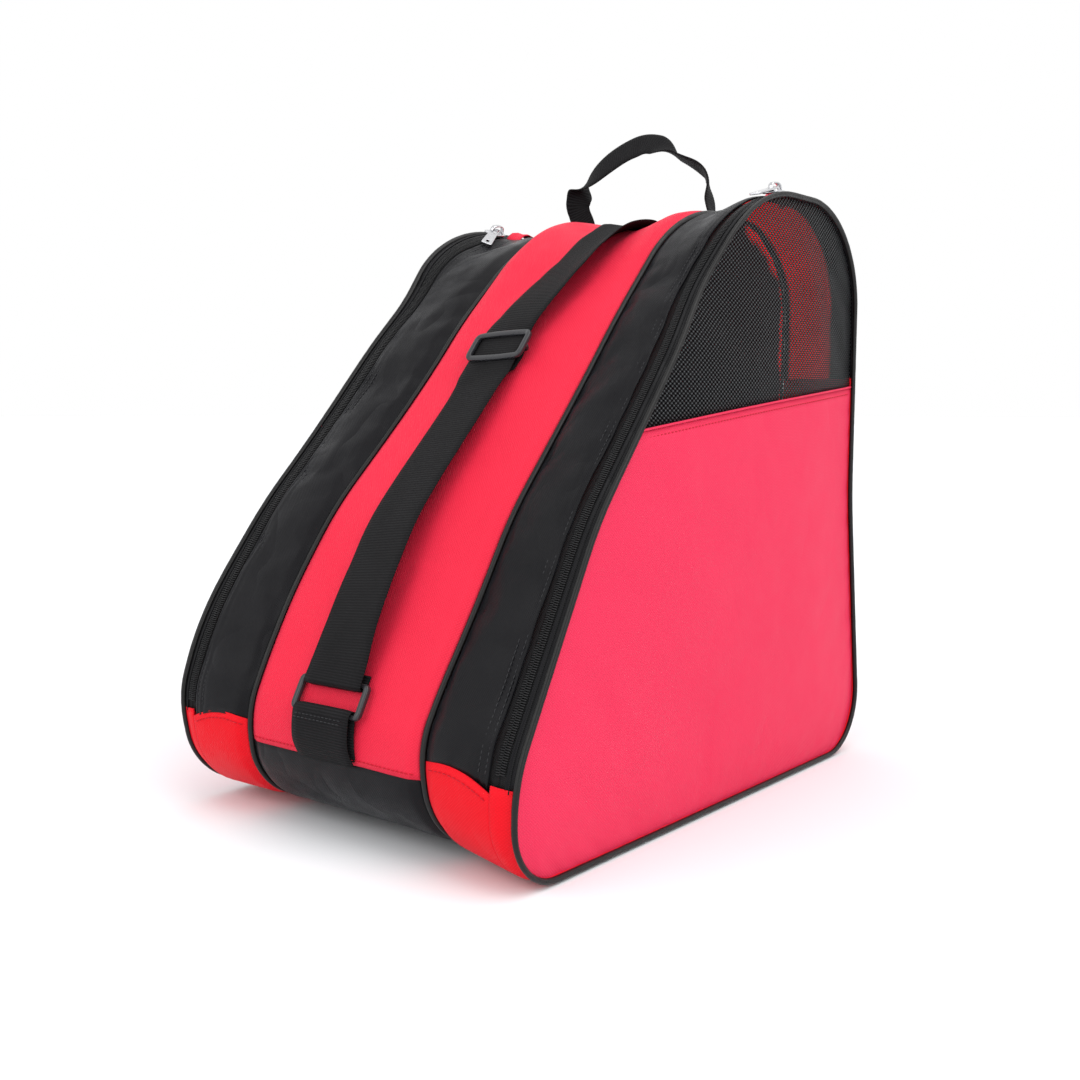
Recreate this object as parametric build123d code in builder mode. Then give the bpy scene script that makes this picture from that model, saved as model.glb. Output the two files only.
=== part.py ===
"""Three-pod skate bag: a soft wedge-shaped bag with zipped side pods, a back flap, a strap and a handle.

The bag stands on its flat bottom. +X is the right-hand pod, -Y is the sloping front, +Z is up.
The origin lies on the floor under the middle of the bag. All sizes are in millimetres.
"""
from build123d import *
import math
import os

# ---- Driving dimensions ----
OUTER_X = 134.0            # half the bag's width, to the outside of the side piping
SEAM_X = 72.0              # middle of each seam between the centre pod and a side pod
WALL = 3.0                 # padded fabric wall
MESH = 1.2                 # ventilation mesh
PIPE_RADIUS = 2.25         # sewn piping
COIL = 3.0                 # width of one half of a zip's coil
COIL_PROUD = 1.2           # how far a coil stands out of the wall
TAPE = 0.6                 # thickness of a zip's tape
TAPE_WIDTH = 11.0          # width of a zip's tape inside the wall
GAP = 0.1                  # between two halves of a zip, and round moving pieces

# Side outline of every pod, as corners in Y and Z with the radius of each corner.
OUTLINE = [(-195, 0), (-193.5, 60), (-126, 184), (34, 377), (177, 377), (175.5, 180), (197, 0)]
OUTLINE_RADII = [36, 80, 200, 105, 68, 300, 42]

# A side pod's zip ends at the front and at the back, and the panel folds out along the line between them.
FOLD_FRONT = (-193.0, 55.0)
FOLD_BACK = (176.0, 262.0)
MESH_EDGE = [(-110, 226), (40, 244), (200, 258)]   # arched top hem of the red side panel
ZIP_END = 6.0              # how far the zips stop short of the fold line

FRONT_SEAM_Z = 42.0        # black bottom panel to red front panel
BACK_SEAM_Z = 60.0         # black bottom panel to back panel
TOP_SEAM_Y = 110.0         # red front panel to back panel, over the top

FLAP_HINGE_Z = 95.0        # back flap: foot, top, half width and corner radius, to the middle of its zip
FLAP_TOP_Z = 300.0
FLAP_HALF_WIDTH = 52.0
FLAP_CORNER = 32.0
FLAP_COIL_Z = 99.0         # where the flap's own half of the zip starts
BACK_ZIP_FOOT_Z = 66.0     # where the zip ends, below the flap

STRAP_WIDTH = 46.0
STRAP_THICK = 1.8
STRAP_UNDER = 2.2          # underside of the strap's lower layer, out from the front panel
STRAP_OVER = 7.2           # underside of its upper layer
BAR_RADIUS = 1.5           # round bars of the lower loop
LOOP_Z = 77.5              # middle of the lower loop, on the front outline
LOOP_BAR = 9.0             # from the loop's middle to each of its bars
GLIDE_ALONG = 120.0        # middle of the tri-glide, up the slope from its lower end
STRAP_END_Y = 108.0        # sewn upper end of the strap

HANDLE_Y = 110.0
HANDLE_THICK = 2.8
HANDLE_WIDTH = 20.0
HANDLE_FOOT_Z = 378.8
HANDLE_PATH = [(-55, HANDLE_FOOT_Z), (-55, 406), (4, 430), (53, 402), (56, HANDLE_FOOT_Z)]
HANDLE_BEND = 14.0

SLIDER_ANGLE = 94.5        # where the side sliders rest on the arc over the top, in degrees from +Y
BACK_SLIDER_Z = 80.0
PLATE = (15.0, 10.0, 1.6)  # slider plate: length, width, thickness
BRIDGE_HEIGHT = 4.0        # gap under a slider's bridge
BRIDGE_THICK = 1.2
POST = 2.0
BRIDGE_WIDTH = 3.0
PULL_LENGTH = 26.0
PULL_WIDTH = 7.4
PULL_THICK = 1.4
PULL_DROOP = 11.0          # how far the side pulls hang below their sliders' planes, in degrees

FAR = 600.0                # well outside the bag


def unit(start, end):
    """Unit vector in Y and Z from one point to another."""
    length = math.dist(start, end)
    return (end[0] - start[0]) / length, (end[1] - start[1]) / length


NOSE_DIR = unit(OUTLINE[1], OUTLINE[2])      # up the steep lower front
SLOPE_DIR = unit(OUTLINE[2], OUTLINE[3])     # up the main slope
TOP_TANGENT = OUTLINE_RADII[3] * math.tan(math.atan2(SLOPE_DIR[1], SLOPE_DIR[0]) / 2)
TOP_CENTRE = (OUTLINE[3][0] + TOP_TANGENT, OUTLINE[3][1] - OUTLINE_RADII[3])


def outline_face(inset=0.0):
    """The bag's side outline, moved in by inset, as a face in Y and Z."""
    with BuildSketch() as face:
        with BuildLine():
            FilletPolyline(*OUTLINE, radius=OUTLINE_RADII, close=True)
        make_face()
        if inset:
            offset(amount=-inset)
    return face.sketch


def polygon_face(*points):
    """A closed polygon in Y and Z."""
    with BuildSketch() as face:
        with BuildLine():
            Polyline(*points, close=True)
        make_face()
    return face.sketch


def fold_side(above, shift=0.0):
    """Everything above or below the fold line, moved up by shift."""
    slope = (FOLD_BACK[1] - FOLD_FRONT[1]) / (FOLD_BACK[0] - FOLD_FRONT[0])
    left = FOLD_FRONT[1] + shift + slope * (-FAR - FOLD_FRONT[0])
    right = FOLD_FRONT[1] + shift + slope * (FAR - FOLD_FRONT[0])
    limit = 2 * FAR if above else -2 * FAR
    return polygon_face((-FAR, left), (FAR, right), (FAR, limit), (-FAR, limit))


def blank(x_low, x_high, outer, inner=None, keep=(), cut=()):
    """An outline between two insets, kept inside some faces and cut by others, extruded along X."""
    outside = outline_face(outer)
    inside = outline_face(inner) if inner is not None else None
    with BuildPart() as piece:
        with BuildSketch(Plane.YZ.offset(x_low)):
            add(outside)
            if inside is not None:
                add(inside, mode=Mode.SUBTRACT)
            for face in keep:
                add(face, mode=Mode.INTERSECT)
            for face in cut:
                add(face, mode=Mode.SUBTRACT)
        extrude(amount=x_high - x_low)
    return piece.part


def slab(name, *sizes, **options):
    """A blank as a finished piece."""
    return finish(blank(*sizes, **options), name)


def finish(part, name):
    """Label a piece and write its file."""
    part.label = name
    export_step(part, f"parts/{name}.step")
    return part


def both_sides(make, name, *sizes, **options):
    """Make a right-hand piece and its mirror image on the left."""
    right = make("right_" + name, *sizes, **options)
    with BuildPart() as left:
        mirror(right, about=Plane.YZ)
    finish(left.part, "left_" + name)
    return right


# ---- Pods: dividers, gussets and panels ----
PANEL_X = OUTER_X - 2 * PIPE_RADIUS          # outside of the side panels, under the piping
PIPE_HALF = PIPE_RADIUS
ZIP_X = OUTER_X - 12.0                       # middle of a side zip's coil
SEAM_OUT = SEAM_X + PIPE_HALF
SEAM_IN = SEAM_X - PIPE_HALF


def make_pods():
    """Everything fixed that walls in the three pods."""
    above = fold_side(True)
    below = fold_side(False)
    zip_run = fold_side(True, ZIP_END)
    both_sides(slab, "inner_divider", SEAM_IN, SEAM_OUT, 2 * PIPE_RADIUS)
    both_sides(slab, "gusset_black", SEAM_OUT, ZIP_X - COIL, 0, WALL, keep=[above])
    both_sides(slab, "gusset_red_base", SEAM_OUT, PANEL_X, 0, WALL, keep=[below])
    both_sides(slab, "side_panel", PANEL_X - WALL, PANEL_X, WALL, keep=[below])
    both_sides(slab, "zip_coil_fixed", ZIP_X - COIL, ZIP_X - GAP, -COIL_PROUD, WALL, keep=[zip_run])
    both_sides(slab, "zip_tape_fixed", ZIP_X - COIL - TAPE_WIDTH, ZIP_X - GAP, WALL, WALL + TAPE, keep=[zip_run])


def make_side_flaps():
    """The part of each side panel that folds out when its zip is open."""
    above = fold_side(True)
    zip_run = fold_side(True, ZIP_END)
    with BuildSketch() as mesh_region:
        with BuildLine():
            hem = ThreePointArc(*MESH_EDGE)
            Polyline(hem @ 1, (MESH_EDGE[2][0], FAR), (MESH_EDGE[0][0], FAR), hem @ 0)
        make_face()
    mesh = mesh_region.sketch
    both_sides(slab, "side_panel_flap", PANEL_X - WALL, PANEL_X, WALL, keep=[above], cut=[mesh])
    both_sides(slab, "mesh_window", PANEL_X - MESH, PANEL_X, WALL, keep=[above, mesh])
    both_sides(slab, "gusset_strip", ZIP_X + COIL, PANEL_X, 0, WALL, keep=[above])
    both_sides(slab, "zip_coil_flap", ZIP_X + GAP, ZIP_X + COIL, -COIL_PROUD, WALL, keep=[zip_run])
    both_sides(slab, "zip_tape_flap", ZIP_X + GAP, PANEL_X - WALL, WALL, WALL + TAPE, keep=[zip_run])


def make_piping():
    """Round piping: whole loops on the two inner seams, and two lengths round each side panel."""
    route = outline_face(PIPE_RADIUS).wire()

    def loop(name, x, cut):
        path = Plane.YZ.offset(x).from_local_coords(route)
        start = path.position_at(0)
        with BuildPart() as piping:
            with BuildSketch(Plane(origin=start, z_dir=path.tangent_at(0))):
                Circle(PIPE_RADIUS)
            sweep(path=path)
            if cut is not None:
                split(bisect_by=FOLD_PLANE, keep=cut)
        return finish(piping.part, name)

    both_sides(loop, "seam_piping", SEAM_X, None)
    both_sides(loop, "side_piping_upper", PANEL_X + PIPE_RADIUS, Keep.TOP)
    both_sides(loop, "side_piping_lower", PANEL_X + PIPE_RADIUS, Keep.BOTTOM)


FOLD_DIR = unit(FOLD_FRONT, FOLD_BACK)
FOLD_PLANE = Plane(
    origin=(0, *FOLD_FRONT), x_dir=(1, 0, 0), z_dir=(0, -FOLD_DIR[1], FOLD_DIR[0])
)


def flap_block(grow, foot=FLAP_HINGE_Z):
    """A block through the back, with the flap's rounded outline grown all round and its own foot."""
    height = FLAP_TOP_Z + grow - foot
    with BuildPart() as block:
        with BuildSketch(Plane.XZ.offset(-150)):
            with Locations((0, foot + height / 2)):
                outline = Rectangle(2 * (FLAP_HALF_WIDTH + grow), height)
            fillet(outline.vertices().group_by(Axis.Z)[-1], FLAP_CORNER + grow)
        extrude(amount=-100)
    return block.part


def make_centre_pod():
    """Front, bottom and back of the centre pod, with a zipped flap in the back."""
    front = polygon_face((-FAR, FRONT_SEAM_Z), (TOP_SEAM_Y, FRONT_SEAM_Z), (TOP_SEAM_Y, FAR), (-FAR, FAR))
    back = polygon_face((TOP_SEAM_Y, BACK_SEAM_Z), (FAR, BACK_SEAM_Z), (FAR, FAR), (TOP_SEAM_Y, FAR))
    slab("centre_front_panel", -SEAM_IN, SEAM_IN, 0, WALL, keep=[front])
    slab("centre_bottom_panel", -SEAM_IN, SEAM_IN, 0, WALL, cut=[front, back])
    wall = blank(-SEAM_IN, SEAM_IN, 0, WALL, keep=[back])
    proud = blank(-SEAM_IN, SEAM_IN, -COIL_PROUD, WALL, keep=[back])
    lining = blank(-SEAM_IN, SEAM_IN, WALL, WALL + TAPE, keep=[back])
    opening = flap_block(GAP)
    flap = flap_block(-GAP)
    both_coils = flap_block(COIL, BACK_ZIP_FOOT_Z) - flap_block(-COIL, BACK_ZIP_FOOT_Z)
    flap_coil = both_coils & flap_block(-GAP, FLAP_COIL_Z)
    cuts = {
        "centre_back_panel": (wall, None, (flap_block(COIL), both_coils)),
        "back_zip_coil_fixed": (proud, both_coils, (opening,)),
        "back_zip_tape_fixed": (lining, flap_block(TAPE_WIDTH), (flap_block(GAP, BACK_ZIP_FOOT_Z),)),
        "back_flap": (wall, flap, (flap_coil,)),
        "back_zip_coil_flap": (proud, flap_coil, ()),
        "back_zip_tape_flap": (lining, flap_block(-GAP, FLAP_COIL_Z), (flap_block(-TAPE_WIDTH, BACK_ZIP_FOOT_Z),)),
    }
    for name, (whole, inside, removed) in cuts.items():
        with BuildPart() as piece:
            add(whole)
            if inside is not None:
                add(inside, mode=Mode.INTERSECT)
            for block in removed:
                add(block, mode=Mode.SUBTRACT)
        finish(piece.part, name)


# ---- Zip sliders and pulls ----
def make_slider(name, plane):
    """A slider body on a plane whose X runs along the zip and whose Z points out of the bag."""
    length, width, thick = PLATE
    base = COIL_PROUD + 3 * GAP
    top = base + thick
    with BuildPart() as slider:
        with BuildSketch(plane.offset(base)):
            with BuildLine():
                FilletPolyline(
                    (-length / 2, -width / 2), (length / 2, -width * 0.36), (length / 2, width * 0.36),
                    (-length / 2, width / 2), radius=1.5, close=True,
                )
            make_face()
        extrude(amount=thick)
        with BuildSketch(plane.offset(top)):
            for end in (-1, 1):
                with Locations((end * (length / 2 - 2 * POST + POST / 2), 0)):
                    Rectangle(POST, BRIDGE_WIDTH)
        extrude(amount=BRIDGE_HEIGHT)
        with BuildSketch(plane.offset(top + BRIDGE_HEIGHT)):
            Rectangle(length - 2 * POST, BRIDGE_WIDTH)
        extrude(amount=BRIDGE_THICK)
    return finish(slider.part, name)


def pull_pivot(plane):
    """The middle of a pull's end bar, under the slider's bridge."""
    height = COIL_PROUD + 3 * GAP + PLATE[2] + BRIDGE_HEIGHT / 2
    return plane.from_local_coords(Vector(-PLATE[0] / 2 + 2 * POST + 2.0, 0, height))


def make_pull(name, plane, droop):
    """A pull tab hung on a slider's bridge, pointing along the plane's -X and turned down by droop."""
    pivot = pull_pivot(plane)
    tilt = plane.rotated((0, -droop, 0))
    tab = Plane(origin=pivot, x_dir=tilt.x_dir, z_dir=tilt.z_dir).offset(-PULL_THICK / 2)
    with BuildPart() as pull:
        with BuildSketch(tab):
            with Locations((0.8 - PULL_LENGTH / 2, 0)):
                RectangleRounded(PULL_LENGTH, PULL_WIDTH, 1.2)
            with Locations((-4.0, 0)):
                Rectangle(6.2, BRIDGE_WIDTH + 1.2, mode=Mode.SUBTRACT)
            with Locations((3.5 - PULL_LENGTH, 0)):
                SlotOverall(4.0, 2.0, rotation=90, mode=Mode.SUBTRACT)
        extrude(amount=PULL_THICK)
    return finish(pull.part, name)


def side_slider_plane():
    """The slider's resting plane on the right-hand side zip."""
    turn = math.radians(SLIDER_ANGLE)
    out = (math.cos(turn), math.sin(turn))
    radius = OUTLINE_RADII[3]
    origin = (ZIP_X, TOP_CENTRE[0] + radius * out[0], TOP_CENTRE[1] + radius * out[1])
    return Plane(origin=origin, x_dir=(0, out[1], -out[0]), z_dir=(0, *out))


def back_slider_plane():
    """The slider's resting plane on the back flap's zip, near its lower right end."""
    down = unit(OUTLINE[5], OUTLINE[6])
    along = (OUTLINE[5][1] - BACK_SLIDER_Z) / -down[1]
    y = OUTLINE[5][0] + along * down[0]
    return Plane(
        origin=(FLAP_HALF_WIDTH, y, BACK_SLIDER_Z), x_dir=(0, -down[0], -down[1]), z_dir=(0, -down[1], down[0])
    )


def make_zip_furniture():
    """Sliders, pulls and the small red end tabs on the side zips."""
    side = side_slider_plane()
    both_sides(make_slider, "zip_slider", side)
    both_sides(make_pull, "zip_pull", side, PULL_DROOP)
    back = back_slider_plane()
    make_slider("back_zip_slider", back)
    make_pull("back_zip_pull", back, 0.0)
    top = OUTLINE[3][1] + GAP
    tab_side = polygon_face((94, top), (118, top), (113, top + 3.0), (99, top + 4.5))

    def tab(name):
        with BuildPart() as piece:
            with BuildSketch(Plane.YZ.offset(ZIP_X - COIL - 13)):
                add(tab_side)
            extrude(amount=12)
        return finish(piece.part, name)

    both_sides(tab, "zip_end_tab")


# ---- Strap ----
LOOP_Y = OUTLINE[1][0] + (LOOP_Z - OUTLINE[1][1]) * NOSE_DIR[0] / NOSE_DIR[1]
BAR_OUT = (STRAP_UNDER + STRAP_OVER + STRAP_THICK) / 2      # both folds are centred on this


def loop_point(along, out):
    """A point in Y and Z, up the steep front from the loop's middle and out from the front panel."""
    return (
        LOOP_Y + along * NOSE_DIR[0] - out * NOSE_DIR[1],
        LOOP_Z + along * NOSE_DIR[1] + out * NOSE_DIR[0],
    )


def slope_point(along, out):
    """A point in Y and Z, up the main slope from its lower end and out from the front panel."""
    return (
        OUTLINE[2][0] + along * SLOPE_DIR[0] - out * SLOPE_DIR[1],
        OUTLINE[2][1] + along * SLOPE_DIR[1] + out * SLOPE_DIR[0],
    )


def strap_solid(name, faces):
    """Faces in Y and Z, extruded to the strap's width."""
    with BuildPart() as piece:
        with BuildSketch(Plane.YZ.offset(-STRAP_WIDTH / 2)):
            for face in faces:
                add(face)
        extrude(amount=STRAP_WIDTH)
    return finish(piece.part, name)


def outline_band(low, high, keep):
    """A band that follows the outline between two distances out from it."""
    outer = outline_face(-high)
    inner = outline_face(-low)
    with BuildSketch() as band:
        add(outer)
        add(inner, mode=Mode.SUBTRACT)
        add(keep, mode=Mode.INTERSECT)
    return band.sketch


def fold_face(along, upward):
    """A half ring of webbing round one of the loop's bars, open upward or downward."""
    centre = loop_point(along, BAR_OUT)
    inner = BAR_OUT - STRAP_UNDER - STRAP_THICK
    turn = math.degrees(math.atan2(NOSE_DIR[1], NOSE_DIR[0]))
    with BuildSketch() as fold:
        with Locations(centre):
            Circle(inner + STRAP_THICK)
            Circle(inner, mode=Mode.SUBTRACT)
        with Locations(Location((*loop_point(along + (5 if upward else -5), BAR_OUT), 0), (0, 0, turn))):
            Rectangle(10, 20, mode=Mode.SUBTRACT)
    return fold.sketch


def make_strap():
    """Webbing, lower loop, tab and tri-glide of the shoulder strap."""
    low = loop_point(LOOP_BAR, 0)
    cut_left = loop_point(LOOP_BAR, 60)
    above_bar = polygon_face(low, cut_left, (cut_left[0], FAR), (STRAP_END_Y - 16, FAR), (STRAP_END_Y - 16, 300))
    under_end = slope_point(GLIDE_ALONG - 42, 0)
    under_cut = slope_point(GLIDE_ALONG - 42, 60)
    below_glide = polygon_face(low, cut_left, (-FAR, cut_left[1]), (-FAR, under_cut[1]), under_cut, under_end)
    top = OUTLINE[3][1] + GAP
    start = STRAP_END_Y - 18
    upper = OUTLINE[3][1] + STRAP_OVER
    ramp = polygon_face(
        (start, upper), (start + 8, top), (STRAP_END_Y, top), (STRAP_END_Y, top + STRAP_THICK),
        (start + 9, top + STRAP_THICK), (start, upper + STRAP_THICK),
    )
    strap_solid("strap_webbing", [
        outline_band(STRAP_OVER, STRAP_OVER + STRAP_THICK, above_bar),
        outline_band(STRAP_UNDER, STRAP_UNDER + STRAP_THICK, below_glide),
        fold_face(LOOP_BAR, True),
        ramp,
    ])

    seam = (OUTLINE[1][0] - 1.8, FRONT_SEAM_Z - 2)
    strap_solid("strap_tab", [
        fold_face(-LOOP_BAR, False),
        polygon_face(
            loop_point(-LOOP_BAR, STRAP_OVER), loop_point(-LOOP_BAR, STRAP_OVER + STRAP_THICK),
            loop_point(-LOOP_BAR - 4, STRAP_OVER + STRAP_THICK), (seam[0] - 2 * STRAP_THICK, seam[1]),
            (seam[0] - STRAP_THICK / 2, seam[1]), loop_point(-LOOP_BAR - 4, STRAP_OVER),
        ),
        polygon_face(
            loop_point(-LOOP_BAR, STRAP_UNDER), loop_point(-LOOP_BAR, STRAP_UNDER + STRAP_THICK),
            (seam[0] - STRAP_THICK, seam[1]), seam,
        ),
    ])

    side_inner = STRAP_WIDTH / 2 + 0.8
    side_outer = side_inner + 3.6
    with BuildPart() as loop:
        for along in (-LOOP_BAR, LOOP_BAR):
            with BuildSketch(Plane.YZ.offset(-side_outer + 1)):
                with Locations(loop_point(along, BAR_OUT)):
                    Circle(BAR_RADIUS)
            extrude(amount=2 * side_outer - 2)
        for x in (-side_outer, side_inner):
            with BuildSketch(Plane.YZ.offset(x)):
                with BuildLine():
                    FilletPolyline(
                        loop_point(-LOOP_BAR - 4, BAR_OUT - 1.8), loop_point(LOOP_BAR + 4, BAR_OUT - 1.8),
                        loop_point(LOOP_BAR + 4, BAR_OUT + 1.8), loop_point(-LOOP_BAR - 4, BAR_OUT + 1.8),
                        radius=1.5, close=True,
                    )
                make_face()
            extrude(amount=side_outer - side_inner)
    finish(loop.part, "strap_loop")

    over = STRAP_OVER + STRAP_THICK + 0.3
    under = STRAP_UNDER + STRAP_THICK + 0.2
    bars = [
        polygon_face(*(slope_point(GLIDE_ALONG + end * 11 + u, h) for u, h in
                       ((-2, over), (2, over), (2, over + 2.6), (-2, over + 2.6))))
        for end in (-1, 1)
    ]
    bars.append(polygon_face(*(slope_point(GLIDE_ALONG + u, h) for u, h in
                               ((-2, under), (2, under), (2, STRAP_OVER - 0.3), (-2, STRAP_OVER - 0.3)))))
    cheek = polygon_face(*(slope_point(GLIDE_ALONG + u, h) for u, h in
                           ((-13, under), (13, under), (13, over + 2.6), (-13, over + 2.6))))
    with BuildPart() as glide:
        with BuildSketch(Plane.YZ.offset(-side_outer)):
            for face in bars:
                add(face)
        extrude(amount=2 * side_outer)
        for x in (-side_outer, side_inner):
            with BuildSketch(Plane.YZ.offset(x)):
                add(cheek)
            extrude(amount=side_outer - side_inner)
    finish(glide.part, "tri_glide")

    strap_solid("strap_sewn_end", [
        polygon_face(*(slope_point(GLIDE_ALONG + u, h) for u, h in
                       ((-15, STRAP_UNDER), (3, STRAP_UNDER), (3, STRAP_UNDER + STRAP_THICK),
                        (-15, STRAP_UNDER + STRAP_THICK)))),
    ])


def make_handle():
    """The carrying handle: one ribbon of webbing that stands over the top seam."""
    with BuildPart() as handle:
        with BuildSketch(Plane.XZ.offset(-HANDLE_Y - HANDLE_THICK / 2)):
            with BuildLine():
                FilletPolyline(*HANDLE_PATH, radius=HANDLE_BEND)
            trace(line_width=HANDLE_WIDTH)
            with Locations((0, HANDLE_FOOT_Z - 15)):
                Rectangle(FAR, 30, mode=Mode.SUBTRACT)
        extrude(amount=HANDLE_THICK)
    finish(handle.part, "handle_webbing")


os.makedirs("parts", exist_ok=True)
make_pods()
make_side_flaps()
make_piping()
make_centre_pod()
make_zip_furniture()
make_strap()
make_handle()
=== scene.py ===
import bpy
import math
from bisect import bisect_left
from mathutils import Matrix, Vector, noise


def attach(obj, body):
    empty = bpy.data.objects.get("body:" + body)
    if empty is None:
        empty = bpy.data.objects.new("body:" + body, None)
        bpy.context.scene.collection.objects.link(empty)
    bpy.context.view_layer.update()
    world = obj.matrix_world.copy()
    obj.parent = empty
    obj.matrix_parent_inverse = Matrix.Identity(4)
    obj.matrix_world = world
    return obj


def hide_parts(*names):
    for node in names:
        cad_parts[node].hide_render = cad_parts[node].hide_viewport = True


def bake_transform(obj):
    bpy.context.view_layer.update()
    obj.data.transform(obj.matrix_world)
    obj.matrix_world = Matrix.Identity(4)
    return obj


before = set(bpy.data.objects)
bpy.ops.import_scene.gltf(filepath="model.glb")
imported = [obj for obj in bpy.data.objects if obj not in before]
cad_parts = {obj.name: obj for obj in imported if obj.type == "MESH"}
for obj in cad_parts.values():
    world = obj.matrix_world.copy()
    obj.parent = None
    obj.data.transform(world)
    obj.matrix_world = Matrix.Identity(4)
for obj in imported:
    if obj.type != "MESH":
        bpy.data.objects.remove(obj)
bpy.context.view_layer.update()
scene = bpy.context.scene

# ---- Shape of the bag, in metres, as in the CAD ----
CORNERS = [(-.195, 0), (-.1935, .060), (-.126, .184), (.034, .377), (.177, .377), (.1755, .180), (.197, 0)]
RADII = [.036, .080, .200, .105, .068, .300, .042]
TOP_Z = .377
FRONT_SEAM_Z, BACK_SEAM_Z = .042, .060
TOP_SEAM_Y = .110
PIPE = .00225                   # radius of the piping
CORD = .0017                    # radius of its cord as it shows between the cloths
SEAM_X = .072                   # seams between the centre pod and the side pods
SEAM_IN = SEAM_X - PIPE
SEAM_OUT = SEAM_X + PIPE
PANEL_X = .1295                 # side panels, under their piping
PIPE_X = PANEL_X + PIPE
UNDER_CORD = .0011              # how far the cloths beside a side piping reach in under its cord
ZIP_X = .122                    # middle of a side zip
HALF_COIL = .003
COIL_PITCH = .0013
CLOTH_EDGE = .0026              # from a coil to the folded edge of the cloth beside it
CLOTH_STEP = .0045              # between two rows of a cloth's grid
FOLD_FRONT = (-.193, .055)
FOLD_BACK = (.176, .262)
ZIP_END = .006
TAPE_DEPTH = .0013              # zip tape below the cloth's surface
COIL_RISE = .0006               # middle of a coil above its tape
SINK = .0027                    # how far cloth dips into a piped seam
SINK_WIDTH = .0075


def unit(a, b):
    length = math.dist(a, b)
    return (b[0] - a[0]) / length, (b[1] - a[1]) / length


def lerp(a, b, t):
    return a + (b - a) * t


def smooth(t):
    t = min(max(t, 0.0), 1.0)
    return t * t * (3 - 2 * t)


class Route:
    """A line in Y and Z with a point and an outward normal at every distance along it."""

    def __init__(self, points):
        self.points = points
        self.length = [0.0]
        for a, b in zip(points, points[1:]):
            self.length.append(self.length[-1] + math.dist(a, b))
        self.total = self.length[-1]

    def point(self, s):
        s = s % self.total
        low, high = 0, len(self.points) - 1
        while high - low > 1:
            mid = (low + high) // 2
            if self.length[mid] <= s:
                low = mid
            else:
                high = mid
        span = self.length[high] - self.length[low]
        t = (s - self.length[low]) / span if span else 0.0
        a, b = self.points[low], self.points[high]
        return lerp(a[0], b[0], t), lerp(a[1], b[1], t)

    def normal(self, s):
        reach = .0015
        dy, dz = unit(self.point(s - reach), self.point(s + reach))
        return -dz, dy

    def at(self, s, out=0.0):
        y, z = self.point(s)
        ny, nz = self.normal(s)
        return y + ny * out, z + nz * out

    def where(self, axis, value, low, high):
        """The distance between low and high at which the line crosses a Y or Z value."""
        steps = 600
        last = None
        for i in range(steps + 1):
            s = lerp(low, high, i / steps)
            side = self.point(s)[axis] - value
            if last is not None and side * last <= 0:
                return s
            last = side
        raise ValueError("the outline doesn't cross that value")


def rounded_loop(corners, radii):
    """Closely spaced points round a polygon with rounded corners, from the middle of its last side."""
    start = tuple(lerp(a, b, .5) for a, b in zip(corners[-1], corners[0]))
    points = [start]
    count = len(corners)
    for i, (corner, radius) in enumerate(zip(corners, radii)):
        before = Vector(unit(corner, corners[i - 1]))
        after = Vector(unit(corner, corners[(i + 1) % count]))
        half = before.angle(after) / 2
        reach = radius / math.tan(half)
        centre = Vector(corner) + (before + after).normalized() * radius / math.sin(half)
        first = Vector(corner) + before * reach - centre
        last = Vector(corner) + after * reach - centre
        turn = first.angle_signed(last)
        steps = max(6, int(abs(turn) * radius / .001))
        for k in range(steps + 1):
            points.append(tuple(centre + Matrix.Rotation(-turn * k / steps, 2) @ first))
    points.append(start)
    return points


BAG = Route(rounded_loop(CORNERS, RADII))
HALF = BAG.where(1, TOP_Z - .00001, BAG.total * .3, BAG.total * .6) + .02
S_FOLD_FRONT = BAG.where(1, FOLD_FRONT[1], BAG.total * .1, HALF)
S_FOLD_BACK = BAG.where(1, FOLD_BACK[1], HALF, BAG.total * .9)
S_FRONT_SEAM = BAG.where(1, FRONT_SEAM_Z, BAG.total * .1, HALF)
S_TOP_SEAM = BAG.where(0, TOP_SEAM_Y, BAG.total * .3, BAG.total * .7)
S_BACK_SEAM = BAG.where(1, BACK_SEAM_Z, HALF, BAG.total * .95)


# ---- How the soft bag leans and slumps, as a shift of every point ----
def between(x, places):
    """A value read off a line through (x, value) pairs."""
    for (x0, a), (x1, b) in zip(places, places[1:]):
        if x <= x1:
            return lerp(a, b, min(max((x - x0) / (x1 - x0), 0), 1))
    return places[-1][1]


def hump(value, middle, width):
    return math.exp(-((value - middle) / width) ** 2)


LEAN_HIGH = [(-.134, .012), (-.072, .024), (0, .010), (.072, .005), (.134, 0)]
LEAN_LOW = [(-.134, 0), (-.072, -.002), (0, -.005), (.072, -.008), (.134, 0)]
NOSE_LIFT = [(-.134, .009), (-.072, .009), (.030, .009), (.072, .008), (.134, 0)]
NOSE_BULGE = [(-.134, .013), (-.072, .003), (0, 0), (.134, 0)]
TOP_DROP = [(-.134, .004), (-.129, .005), (-.120, .0105), (-.112, .0140), (-.100, .0150), (-.072, .0150),
            (-.054, .007), (-.030, .011), (0, .016), (.020, .018), (.040, .013), (.055, .008), (.072, .0070),
            (.082, .0105), (.091, .0105), (.101, .0075), (.111, .0040), (.124, .003), (.134, 0)]
PULL_DENT = .0065               # how deep the left pull has pressed into the cloth under it


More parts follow.
